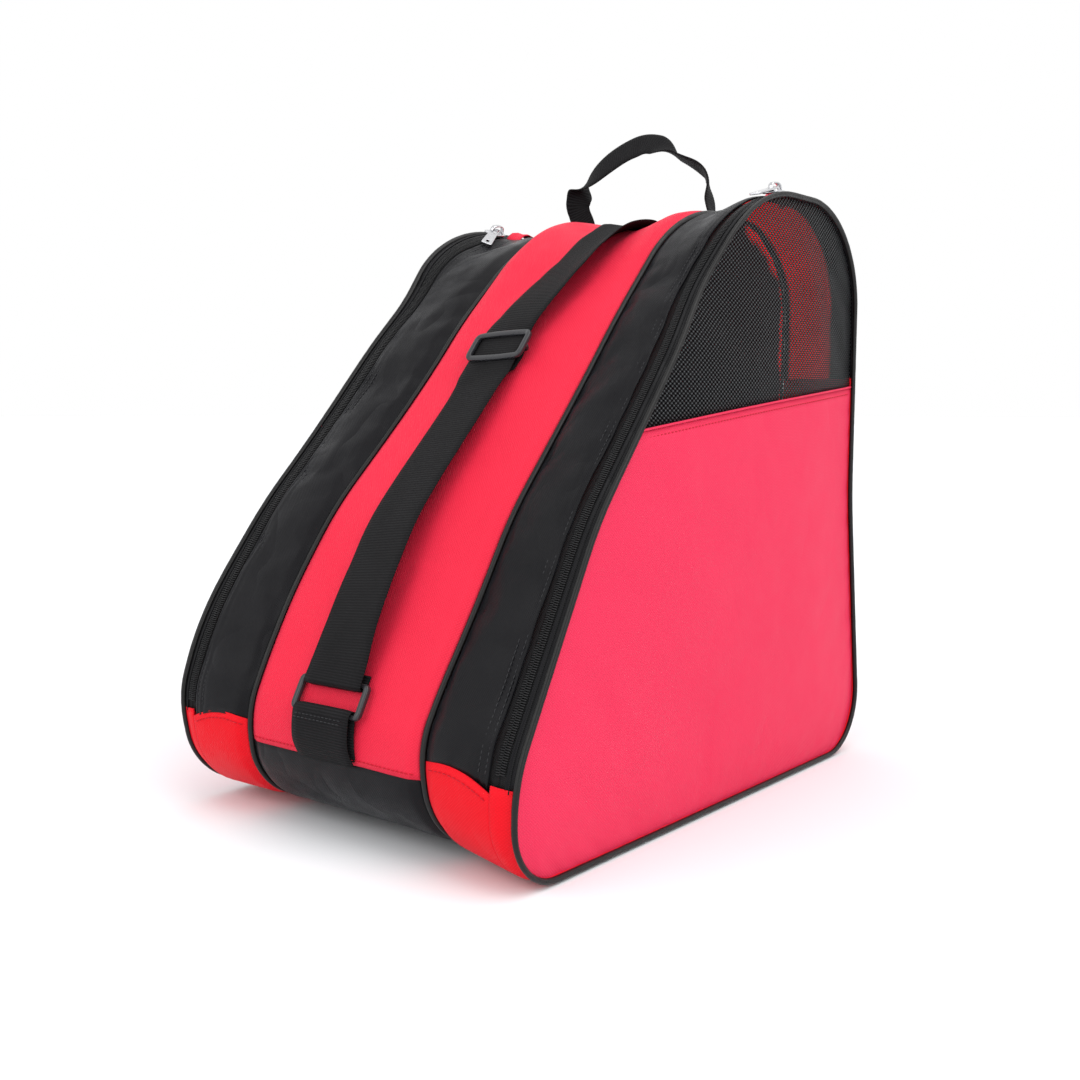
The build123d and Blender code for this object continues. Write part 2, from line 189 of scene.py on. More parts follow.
def slump(point):
    """Where a point of the tidy CAD shape lies in the real, slack bag."""
    x, y, z = point
    high = smooth((z - .12) / .17)
    low = hump(z, .07, .055)
    corner = math.exp(-((y + .195) ** 2 + z ** 2) / .075 ** 2)
    lift = between(x, NOSE_LIFT) * corner
    front = smooth((.05 - y) / .12)
    bulge = between(x, NOSE_BULGE) * hump(z, .110, .060) * front
    drop = between(x, TOP_DROP) * smooth((z - .28) / .09)
    drop += PULL_DENT * hump(x, -.106, .011) * hump(y, .052, .019) * smooth((z - .30) / .04)
    return Vector((x + between(x, LEAN_HIGH) * high + between(x, LEAN_LOW) * low * front,
                   y + lift * .9 - bulge,
                   z + lift - drop))


# ---- Building meshes ----
def make(name, verts, faces, uvs=None, material=None, slack="soft"):
    """A smooth mesh object. uvs, in metres, has one pair for each vertex.
    slack is soft, none, or for a rigid piece the point whose shift the whole piece takes."""
    verts = [Vector(v) for v in verts]
    if slack == "soft":
        verts = [slump(v) for v in verts]
    elif slack != "none":
        shift = slump(slack) - Vector(slack)
        verts = [v + shift for v in verts]
    mesh = bpy.data.meshes.new(name)
    mesh.from_pydata([tuple(v) for v in verts], [], faces)
    if uvs is not None:
        layer = mesh.uv_layers.new(name="weave")
        for loop in mesh.loops:
            layer.data[loop.index].uv = uvs[loop.vertex_index]
    mesh.polygons.foreach_set("use_smooth", [True] * len(mesh.polygons))
    piece = bpy.data.objects.new(name, mesh)
    scene.collection.objects.link(piece)
    if material is not None:
        mesh.materials.append(material)
    return piece


def place(piece, slot, body=None, *nodes):
    """Names the body a piece rides on and the CAD nodes that it stands in for. slot is not used."""
    if body:
        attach(piece, body)
    if nodes:
        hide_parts(*nodes)


def apply_modifiers(piece):
    """Puts a piece's modifiers into its mesh."""
    depsgraph = bpy.context.evaluated_depsgraph_get()
    mesh = bpy.data.meshes.new_from_object(piece.evaluated_get(depsgraph), depsgraph=depsgraph)
    piece.modifiers.clear()
    piece.data = mesh
    return piece


def thicken(piece, thickness, lining=None, offset=-1):
    """Gives a sheet its thickness, inwards, with its inner face in another material if one is given."""
    solid = piece.modifiers.new("thick", "SOLIDIFY")
    if lining is not None:
        piece.data.materials.append(lining)
        solid.material_offset = 1
    solid.thickness = thickness
    solid.offset = offset
    return apply_modifiers(piece)


def stuff(piece, grid, pressure, cap, stretch=0.0):
    """Fills a sheet out by cloth simulation with its edges held, and keeps each point within cap."""
    rows, columns = grid
    mesh = piece.data
    start = [v.co.copy() for v in mesh.vertices]
    held = piece.vertex_groups.new(name="held")
    edge = [i * columns + j for i in range(rows) for j in range(columns)
            if i in (0, rows - 1) or j in (0, columns - 1)]
    held.add(edge, 1.0, "REPLACE")
    cloth = piece.modifiers.new("cloth", "CLOTH")
    cloth.settings.quality = 6
    cloth.settings.mass = .25
    cloth.settings.tension_stiffness = 30
    cloth.settings.compression_stiffness = 30
    cloth.settings.bending_stiffness = 1.2
    cloth.settings.vertex_group_mass = "held"
    cloth.settings.use_pressure = True
    cloth.settings.uniform_pressure_force = pressure
    cloth.settings.shrink_min = -stretch
    cloth.settings.effector_weights.gravity = 0
    cloth.collision_settings.use_collision = False
    cloth.point_cache.frame_start = 1
    cloth.point_cache.frame_end = 20
    for number in range(1, 21):
        scene.frame_set(number)
    apply_modifiers(piece)
    scene.frame_set(1)
    piece.vertex_groups.clear()
    for v, old in zip(piece.data.vertices, start):
        move = v.co - old
        if move.length > cap:
            v.co = old + move * (cap / move.length)
    return piece


def grid_faces(rows, columns, closed=False, flip=False):
    faces = []
    for i in range(rows - 1):
        for j in range(columns if closed else columns - 1):
            k = (j + 1) % columns
            face = (i * columns + j, i * columns + k, (i + 1) * columns + k, (i + 1) * columns + j)
            faces.append(face[::-1] if flip else face)
    return faces


def tube_faces(rings, sides):
    """The faces of a tube of rings, closed at both ends."""
    return grid_faces(rings, sides, closed=True) + [
        tuple(range(sides))[::-1], tuple(range((rings - 1) * sides, rings * sides))]


def spread(count, ends=.5):
    """Numbers from 0 to 1, closer together near both ends."""
    flat = [i / (count - 1) for i in range(count)]
    return [lerp(t, (1 - math.cos(math.pi * t)) / 2, ends) for t in flat]


def ripple(x, s, seed, size=.06):
    return noise.noise(Vector((x / size, s / size, seed)))


def seam_sink(distance):
    return -SINK * (1 - smooth(distance / SINK_WIDTH))


def side_lean(s):
    """How far the side pods' outer edge is pushed in, beside the upper slope."""
    return .0045 * math.exp(-((s - S_LEAN) / .036) ** 2)


S_LEAN = BAG.where(1, .315, BAG.total * .2, HALF)


def shifted(x, s):
    """Moves a point of a side pod in with the soft outer edge."""
    weight = smooth((abs(x) - SEAM_X) / (PANEL_X - SEAM_X))
    return x - math.copysign(side_lean(s) * weight, x)


def band(name, s_range, x_range, height, columns, material, thickness=.0012, sim=None, lining=None):
    """A strip of cloth along the outline. Its ends may depend on x; height(s, x) is how far out it lies."""
    s0, s1 = s_range
    start = s0 if callable(s0) else lambda x: s0
    end = s1 if callable(s1) else lambda x: s1
    rows = max(3, int((end(x_range[0]) - start(x_range[0])) / CLOTH_STEP) + 1)
    across = [lerp(x_range[0], x_range[1], t) for t in spread(columns)]
    if x_range[0] > x_range[1]:
        across.reverse()
    verts, uvs = [], []
    for i in range(rows):
        for x in across:
            s = lerp(start(x), end(x), i / (rows - 1))
            verts.append(on_bag(shifted(x, s), s, height(s, x)))
            uvs.append((x, s))
    piece = make(name, verts, grid_faces(rows, columns), uvs, material)
    if sim:
        stuff(piece, (rows, columns), *sim)
    return thicken(piece, thickness, lining)


def sweep(name, centres, ups, section, material, closed=False, slack="soft"):
    """A closed section carried along a line. section(i) gives sideways and upward offsets for station i."""
    count = len(centres)
    verts, uvs = [], []
    travelled = 0.0
    for i, centre in enumerate(centres):
        after = centres[(i + 1) % count] if closed else centres[min(i + 1, count - 1)]
        before = centres[i - 1] if closed else centres[max(i - 1, 0)]
        along = (after - before).normalized()
        up = (ups[i] - along * ups[i].dot(along)).normalized()
        side = along.cross(up)
        if i:
            travelled += (centre - centres[i - 1]).length
        shape = section(i)
        around = 0.0
        for k, (a, b) in enumerate(shape):
            if k:
                around += math.dist(shape[k], shape[k - 1])
            verts.append(centre + side * a + up * b)
            uvs.append((around, travelled))
    size = len(section(0))
    rows = count + 1 if closed else count
    faces = [tuple(v % (count * size) for v in face)
             for face in grid_faces(rows, size, closed=True, flip=True)]
    if not closed:
        faces.append(tuple(range(size)))
        faces.append(tuple(range((count - 1) * size, count * size))[::-1])
    return make(name, verts, faces, uvs, material, slack)


def round_section(radius, sides=10, flat=1.0):
    ring = [(radius * math.cos(2 * math.pi * k / sides), radius * flat * math.sin(2 * math.pi * k / sides))
            for k in range(sides)]
    return lambda i: ring


def join_meshes(name, parts, material, slack="soft"):
    """One mesh from lists of (verts, faces)."""
    verts, faces = [], []
    for some_verts, some_faces in parts:
        base = len(verts)
        verts.extend(some_verts)
        faces.extend(tuple(base + i for i in face) for face in some_faces)
    return make(name, verts, faces, None, material, slack)


def capsule(points, up, radius, taper=.55):
    """A short tube with rounded ends through a few points."""
    count, sides = len(points), 6
    verts = []
    for i, point in enumerate(points):
        along = (points[min(i + 1, count - 1)] - points[max(i - 1, 0)]).normalized()
        side = along.cross(up).normalized()
        top = side.cross(along)
        size = radius * (taper if i in (0, count - 1) else 1.0)
        for k in range(sides):
            turn = 2 * math.pi * k / sides
            verts.append(point + side * (size * math.cos(turn)) + top * (size * math.sin(turn)))
    return verts, tube_faces(count, sides)


def walker(line):
    """A line's length, and a function of distance that gives a point, the normal and the direction."""
    travelled = [0.0]
    for (a, _), (b, _) in zip(line, line[1:]):
        travelled.append(travelled[-1] + (b - a).length)

    def at(d):
        i = min(max(bisect_left(travelled, d) - 1, 0), len(line) - 2)
        (a, up), (b, _) = line[i], line[i + 1]
        return a.lerp(b, (d - travelled[i]) / (travelled[i + 1] - travelled[i])), up, (b - a).normalized()
    return travelled[-1], at


def stitches(name, line, material, slack="soft"):
    """A row of stitches along a line of (point, outward normal) pairs."""
    pitch, length, radius = .0032, .0024, .00028
    total, at = walker(line)
    parts = []
    s = 0.0
    while s + length < total:
        a, (middle, up, _), c = at(s)[0], at(s + length / 2), at(s + length)[0]
        b = middle + up * radius * .7
        deep, high = up * radius * .4, up * radius * .3
        arc = [a - deep, a.lerp(b, .5) + high, b, b.lerp(c, .5) + high, c - deep]
        parts.append(capsule(arc, up, radius))
        s += pitch
    return join_meshes(name, parts, material, slack)


# ---- Materials ----
class Graph:
    """Short calls for building a node material."""

    def __init__(self, name, color, roughness, **sockets):
        self.material = bpy.data.materials.new(name)
        self.material.use_nodes = True
        self.tree = self.material.node_tree
        self.shader = self.tree.nodes["Principled BSDF"]
        self.shader.inputs["Base Color"].default_value = (*color, 1)
        self.shader.inputs["Roughness"].default_value = roughness
        for key, value in sockets.items():
            self.shader.inputs[key.replace("_", " ")].default_value = value

    def node(self, kind, inputs=None, **settings):
        node = self.tree.nodes.new(kind)
        for key, value in settings.items():
            setattr(node, key, value)
        for key, value in (inputs or {}).items():
            if isinstance(value, bpy.types.NodeSocket):
                self.tree.links.new(value, node.inputs[key])
            else:
                node.inputs[key].default_value = value
        return node

    def math(self, operation, a, b=0.0):
        return self.node("ShaderNodeMath", {0: a, 1: b}, operation=operation).outputs[0]

    def place(self, uv=True):
        """The cloth's own coordinates, or those of the bag."""
        if uv:
            return self.node("ShaderNodeUVMap", uv_map="weave").outputs[0]
        return self.node("ShaderNodeTexCoord").outputs["Object"]

    def split(self, source):
        parts = self.node("ShaderNodeSeparateXYZ", {0: source})
        return parts.outputs[0], parts.outputs[1], parts.outputs[2]

    def wave(self, value, pitch):
        """A 0 to 1 wave of a coordinate in metres."""
        raw = self.math("SINE", self.math("MULTIPLY", value, 2 * math.pi / pitch))
        return self.math("MULTIPLY", self.math("ADD", raw, 1.0), .5)

    def noise(self, scale, detail=3.0):
        inputs = {"Vector": self.place(False), "Scale": scale, "Detail": detail, "Roughness": .55}
        return self.node("ShaderNodeTexNoise", inputs).outputs["Fac"]

    def ramp(self, value, low, high, a=0.0, b=1.0):
        node = self.node("ShaderNodeMapRange", {0: value, 1: low, 2: high, 3: a, 4: b})
        node.clamp = True
        return node.outputs[0]

    def mix(self, factor, a, b):
        node = self.node("ShaderNodeMix", {0: factor}, data_type="RGBA")
        for index, value in ((6, a), (7, b)):
            if isinstance(value, bpy.types.NodeSocket):
                self.tree.links.new(value, node.inputs[index])
            else:
                node.inputs[index].default_value = (*value, 1)
        return node.outputs[2]

    def set(self, socket, value):
        self.tree.links.new(value, self.shader.inputs[socket])

    def bump(self, height, strength, distance, under=None):
        node = self.node("ShaderNodeBump", {"Strength": strength, "Distance": distance, "Height": height})
        if under is not None:
            self.tree.links.new(under, node.inputs["Normal"])
        self.set("Normal", node.outputs[0])
        return node.outputs[0]


def tint(color, gain):
    return tuple(min(c * gain, 1.0) for c in color)


def oxford(name, color, dark, pitch, roughness, blotch, weave_depth, **sockets):
    """Coated cloth with a diagonal weave, soft creases and uneven shine."""
    g = Graph(name, color, roughness, **sockets)
    u, v, _ = g.split(g.place())
    across = g.wave(g.math("ADD", u, v), pitch)
    down = g.wave(g.math("SUBTRACT", u, v), pitch)
    weave = g.math("MULTIPLY", across, down)
    large = g.noise(9.0, 4.0)
    fine = g.noise(48.0, 5.0)
    ridge = g.math("ABSOLUTE", g.math("SUBTRACT", g.noise(15.0, 2.0), .5))
    shade = g.math("ADD", g.math("MULTIPLY", weave, .5), g.math("MULTIPLY", large, .5))
    g.set("Base Color", g.mix(g.ramp(shade, .15, .75), dark, color))
    uneven = g.math("MULTIPLY", g.math("SUBTRACT", fine, .5), blotch)
    g.set("Roughness", g.math("ADD", uneven, roughness))
    folds = g.bump(g.ramp(ridge, 0, .14), .7, .0030 * blotch)
    creases = g.bump(fine, .28, .0014 * blotch, folds)
    g.bump(weave, 1.0, weave_depth, creases)
    return g.material


def red_oxford(name, color, dark, blotch=.30):
    return oxford(name, color, dark, .0018, .55, blotch, .00016, Sheen_Weight=.05, Sheen_Roughness=.45,
                  Sheen_Tint=(1, .30, .48, 1), Specular_IOR_Level=.12)


RED = red_oxford("red_oxford", (.76, .028, .066), (.66, .014, .040))
# painted reflection: the side panels' copy of the red cloth is pinker, a pale veil of sheen from the bright
# surroundings painted into its colour
SIDE_RED_PAINTED_SHEEN = red_oxford("red_oxford_side_painted_sheen", (.76, .036, .096), (.68, .026, .078), .22)
# painted shade: the corners' copy of the red cloth is deeper and lacks the pale veil, for the shade where
# they face down in the bag's own shadow
CORNER_RED_PAINTED_SHADE = red_oxford("red_oxford_corner_painted_shade", (.76, .005, .016), (.66, .003, .010))
BLACK = oxford("black_oxford", (.0050, .0045, .0062), (.0022, .0022, .0030), .0013, .38, .60, .00009,
               Sheen_Weight=.02, Sheen_Roughness=.35, Sheen_Tint=(.75, .8, 1, 1), Specular_IOR_Level=.14)
# the lining's red, which also glows as painted light, and a near-black painted shade
LINING_RED_GLOW, LINING_SHADE = (.80, .008, .012), (.002, .002, .003)
LINING_FROM, LINING_TO = .0765, .112            # between these, out from the middle, the lining shows red and glows as painted light; outside them it is painted shade


def lining_graph(name):
    # painted light: the lining emits its own colour, a glow standing in for light that comes in through the
    # mesh, with no lamp there
    return Graph(name, LINING_RED_GLOW, .6, Specular_IOR_Level=.1, Emission_Strength=.85)


def finish_lining(g, glow_share):
    """Gives a lining its two colours, a dark painted shade and a red that glows as painted light, as from
    light behind it, and its weave.
    """
    shown = g.mix(glow_share, LINING_SHADE, LINING_RED_GLOW)
    g.set("Base Color", shown)
    g.set("Emission Color", shown)
    u, v, _ = g.split(g.place())
    g.bump(g.math("MULTIPLY", g.wave(u, .0012), g.wave(v, .0012)), 1.0, .0001)
    return g.material


def lining_material():
    """The pods' red lining, painted dark as shade near its edges, red and glowing as painted light between
    them.
    """
    g = lining_graph("red_lining")
    out = g.math("ABSOLUTE", g.split(g.place())[0])
    inside = g.math("MULTIPLY", g.ramp(out, LINING_FROM, LINING_FROM + .002),
                    g.ramp(out, LINING_TO, LINING_TO - .002))
    patchy = g.ramp(g.noise(22.0, 4.0), .3, .7, .55, 1.0)
    return finish_lining(g, g.math("MULTIPLY", inside, patchy))


LINING = lining_material()


def webbing_material(name, color, light, rib):
    """Ribbed webbing: crosswise ribs with fine threads along them, their crests painted lighter as glints,
    unevenly.
    """
    g = Graph(name, color, .62, Specular_IOR_Level=.12)
    u, v, _ = g.split(g.place())
    ribs = g.wave(v, rib)
    threads = g.wave(g.math("ADD", u, g.math("MULTIPLY", ribs, rib / 3)), rib * .62)
    cells = g.math("MULTIPLY", ribs, g.math("ADD", g.math("MULTIPLY", threads, .6), .4))
    uneven_glint = g.noise(60.0, 3.0)
    # painted highlight: the rib crests take the lighter colour, more in some places than others
    g.set("Base Color", g.mix(g.math("MULTIPLY", cells, g.ramp(uneven_glint, .3, .8, .4, 1.0)), color, light))
    g.bump(cells, 1.0, .0003)
    return g.material


# the second colour is the painted highlight on the rib crests
WEBBING = webbing_material("black_webbing", (.0028, .0026, .0030), (.016, .015, .017), .0017)


def tape_material():
    """Woven zip tape with a herringbone."""
    g = Graph("zip_tape", (.006, .006, .007), .6, Specular_IOR_Level=.12)
    u, v, _ = g.split(g.place())
    zigzag = g.math("PINGPONG", u, .0016)
    ribs = g.wave(g.math("ADD", v, zigzag), .0011)
    g.set("Base Color", g.mix(ribs, (.003, .003, .0035), (.018, .018, .019)))
    g.bump(ribs, 1.0, .00022)
    return g.material


def piping_material():
    """Satin ribbon sewn round a cord."""
    g = Graph("black_piping", (.004, .0036, .0036), .22, Specular_IOR_Level=.30)
    u, v, _ = g.split(g.place())
    threads = g.wave(g.math("ADD", v, g.math("MULTIPLY", u, .6)), .0008)
    pucker = g.noise(140.0, 2.0)
    g.set("Roughness", g.ramp(pucker, .3, .7, .26, .42))
    first = g.bump(pucker, .5, .0005)
    g.bump(threads, .7, .00006, first)
    return g.material


def plain_material(name, color, roughness, grain=.15, scale=120.0, depth=.00004, **sockets):
    """Moulded plastic, thread or metal with slight unevenness."""
    g = Graph(name, color, roughness, **sockets)
    speck = g.noise(scale, 4.0)
    g.set("Base Color", g.mix(g.ramp(speck, .35, .7), tint(color, 1 - grain), color))
    g.set("Roughness", g.ramp(speck, .3, .7, roughness * (1 - grain), roughness * (1 + grain)))
    g.bump(speck, .6, depth)
    return g.material


MESH_PITCH = .0027
THREAD_EDGE = .75               # height of a thread's wave at which it gives way to a hole


def mesh_material():
    """Open diagonal net: two crossing sets of threads with clear holes between them."""
    g = Graph("black_mesh", (.010, .011, .011), .45, Specular_IOR_Level=.12)
    u, v, _ = g.split(g.place())
    narrow = g.math("MULTIPLY", u, .75)
    one = g.wave(g.math("ADD", narrow, v), MESH_PITCH)
    two = g.wave(g.math("SUBTRACT", narrow, v), MESH_PITCH)
    thread = g.math("MAXIMUM", one, two)
    knot = g.math("MULTIPLY", one, two)
    hole = g.math("LESS_THAN", thread, THREAD_EDGE)
    # painted highlight: the knots where the threads cross are pale, standing for glints on the black threads
    g.set("Base Color", g.mix(g.ramp(knot, .45, .95), (.0025, .0026, .003), (.085, .09, .095)))
    g.bump(thread, 1.0, .0003)
    clear = g.node("ShaderNodeBsdfTransparent").outputs[0]
    mixed = g.node("ShaderNodeMixShader", {0: hole, 1: g.shader.outputs[0], 2: clear})
    g.tree.links.new(mixed.outputs[0], g.tree.nodes["Material Output"].inputs["Surface"])
    return g.material


TAPE = tape_material()
PIPING = piping_material()
MESH = mesh_material()
COIL = plain_material("zip_coil", (.010, .010, .011), .35, Specular_IOR_Level=.35)
PLASTIC = plain_material("buckle_plastic", (.022, .022, .026), .30, scale=300.0, Specular_IOR_Level=.45)
METAL = plain_material("slider_metal", (.70, .70, .72), .20, scale=500.0, depth=.00002, Metallic=1.0)
THREAD_RED = plain_material("red_thread", (.50, .006, .02), .5, scale=900.0, Specular_IOR_Level=.2)
THREAD_BLACK = plain_material("black_thread", (.020, .020, .023), .45, scale=900.0, Specular_IOR_Level=.3)


# ---- Side pods ----
SIDES = (("right", 1), ("left", -1))


def fold(piece):
    """Bakes a piece's transform into its mesh; the piece is not bent where a side panel folds out."""
    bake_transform(piece)


HEM = [(-.110, .226), (.040, .244), (.200, .258)]


def hem_z(y):
    """The arched top hem of the red side panel: a circle through three points."""
    (x1, y1), (x2, y2), (x3, y3) = HEM
    a = (y - x2) * (y - x3) / ((x1 - x2) * (x1 - x3))
    b = (y - x1) * (y - x3) / ((x2 - x1) * (x2 - x3))
    c = (y - x1) * (y - x2) / ((x3 - x1) * (x3 - x2))
    return a * y1 + b * y2 + c * y3


PANEL_INSET = .0026
PANEL_S = [BAG.total * i / 1400 for i in range(1400)]
PANEL_EDGE = [BAG.at(s, -PANEL_INSET) for s in PANEL_S]


def level(w, y):
    """Height of row w at y: 0 is the bottom, 1 the hem and 2 the top."""
    low, high = PANEL_INSET, TOP_Z - PANEL_INSET
    if w <= 1:
        return lerp(low, hem_z(y), w)
    return lerp(hem_z(y), high, w - 1)


def row_ends(w):
    """Where a row of the side panel meets the outline, in front and behind."""
    found = []
    last = PANEL_EDGE[0][1] - level(w, PANEL_EDGE[0][0])
    for i, (y, z) in enumerate(PANEL_EDGE[1:], 1):
        now = z - level(w, y)
        if now * last <= 0 and now != last:
            t = last / (last - now)
            found.append((lerp(PANEL_EDGE[i - 1][0], y, t), lerp(PANEL_S[i - 1], PANEL_S[i], t)))
        last = now
    return found[0], found[-1]


def make_side_panel(side, sign):
    """The red cloth and the mesh above it, one stretched sheet round its own outline."""
    red_rows, mesh_rows, columns = 50, 34, 72
    tiny = .0002
    rows = [max(tiny, 1 - math.cos(math.pi / 2 * i / red_rows)) for i in range(red_rows + 1)]
    rows += [min(2 - tiny * 2, 1 + math.sin(math.pi / 2 * i / mesh_rows)) for i in range(1, mesh_rows + 1)]
    verts, uvs = [], []
    for w in rows:
        (y_front, s_front), (y_back, _) = row_ends(w)
        for t in spread(columns, .35):
            y = lerp(y_front, y_back, t)
            z = level(w, y)
            edge = min(y - y_front, y_back - y, z - PANEL_INSET, TOP_Z - PANEL_INSET - z)
            crown = .0035 * (1 - math.exp(-max(edge, 0) / .035))
            crown += .0016 * ripple(y, z, 3.1 + sign, .11) * smooth(edge / .03)
            dip = UNDER_CORD * .3 * (1 - smooth(edge / .006))
            lean = side_lean(s_front) * math.exp(-(y - y_front) / .05)
            verts.append((sign * (PANEL_X + crown + dip - lean), y, z))
            uvs.append((y, z))
    total = len(rows)
    # the side sheet takes the copy of the red cloth with the painted reflection
    piece = make(side + "_side_sheet", verts, grid_faces(total, columns, flip=sign < 0), uvs, SIDE_RED_PAINTED_SHEEN)
    stuff(piece, (total, columns), 2.2, .007, .002)
    points = [v.co.copy() for v in piece.data.vertices]
    bpy.data.objects.remove(piece)
    split = (red_rows + 1) * columns
    red = make(side + "_side_panel_cloth", points[:split], grid_faces(red_rows + 1, columns, flip=sign < 0),
               uvs[:split], SIDE_RED_PAINTED_SHEEN, "none")
    net_from = red_rows * columns
    net = make(side + "_mesh_cloth", [p - Vector((sign * .0005, 0, 0)) for p in points[net_from:]],
               grid_faces(mesh_rows + 1, columns, flip=sign < 0), uvs[net_from:], MESH, "none")
    outward = Vector((sign, 0, 0))
    line = []
    for j in range(2, columns - 2):
        top = net_from + j
        p = points[top] - Vector((0, 0, .0045))
        near = min(points[top - 2 * columns:top + 1:columns], key=lambda q: abs(q.z - p.z))
        line.append((Vector((near.x, p.y, p.z)), outward))
    thread = stitches(side + "_hem_stitches", line, THREAD_RED, "none")
    place(thread, "red_oxford", side + "_flap_body")
    hem_line = [p + outward * .0006 for p in points[net_from:net_from + columns]]
    hem = sweep(side + "_hem_fold", hem_line, [outward] * columns, round_section(.0007, 8, .8), SIDE_RED_PAINTED_SHEEN,
                slack="none")
    place(hem, "red_oxford", side + "_flap_body")
    thicken(red, .0009)
    thicken(net, .0004)
    fold(red)
    place(red, "red_oxford", None, side + "_side_panel", side + "_side_panel_flap")
    place(net, "black_mesh", side + "_flap_body", side + "_mesh_window")


def on_bag(x, s, out):
    """The point at x, a distance s along the outline and out from it."""
    return Vector((x, *BAG.at(s, out)))


def out_of(s):
    """The outward normal at a distance along the outline."""
    return Vector((0, *BAG.normal(s)))


def outline_line(x, s0, s1, out, step=.003):
    """Points and outward normals along the outline at a given x."""
    count = max(2, int((s1 - s0) / step))
    line = []
    for i in range(count + 1):
        s = lerp(s0, s1, i / count)
        line.append((on_bag(shifted(x, s), s, out), out_of(s)))
    return line


def tube(name, x, out, radius):
    """A slightly uneven cord all round the outline."""
    line = outline_line(x, 0, BAG.total, out)[:-1]
    ring = round_section(1.0, 12)(0)

    def section(i):
        size = radius * (1 + .05 * noise.noise(Vector((i * .9, x * 40, 2.0))))
        return [(a * size, b * size) for a, b in ring]

    return sweep(name, [p for p, _ in line], [n for _, n in line], section, PIPING, closed=True)


def coil(name, line, direction, phase=0.0):
    """One half of a nylon coil: rounded turns that reach from the tape to just past the middle line."""
    total, at = walker(line)
    parts = []
    d = phase
    while d < total:
        middle, up, along = at(d)
        across = up.cross(along).normalized() * direction
        turn = [middle + across * (HALF_COIL * a) + up * b + along * c for a, b, c in (
            (.98, -.0008, -.00012), (.90, .0003, -.00008), (.45, .0007, 0), (.02, .0006, .00006),
            (-.10, -.0002, .0001))]
        parts.append(capsule(turn, up, .00030, taper=.8))
        d += COIL_PITCH
    return join_meshes(name, parts, COIL)


def arched(base, rise, x_inner, x_outer):
    """Where the red corner's arched hem lies, as a distance along the outline that depends on x."""
    def s(x):
        t = (abs(x) - x_inner) / (x_outer - x_inner)
        return base + rise * math.sin(math.pi * min(max(t * .85 + .08, 0), 1)) - .004 * t
    return s


GUSSET_EDGE = ZIP_X - HALF_COIL - CLOTH_EDGE
ZIP_SEAMS = (.0022, .0062)      # from a cloth's folded edge to the two rows of stitches beside a zip


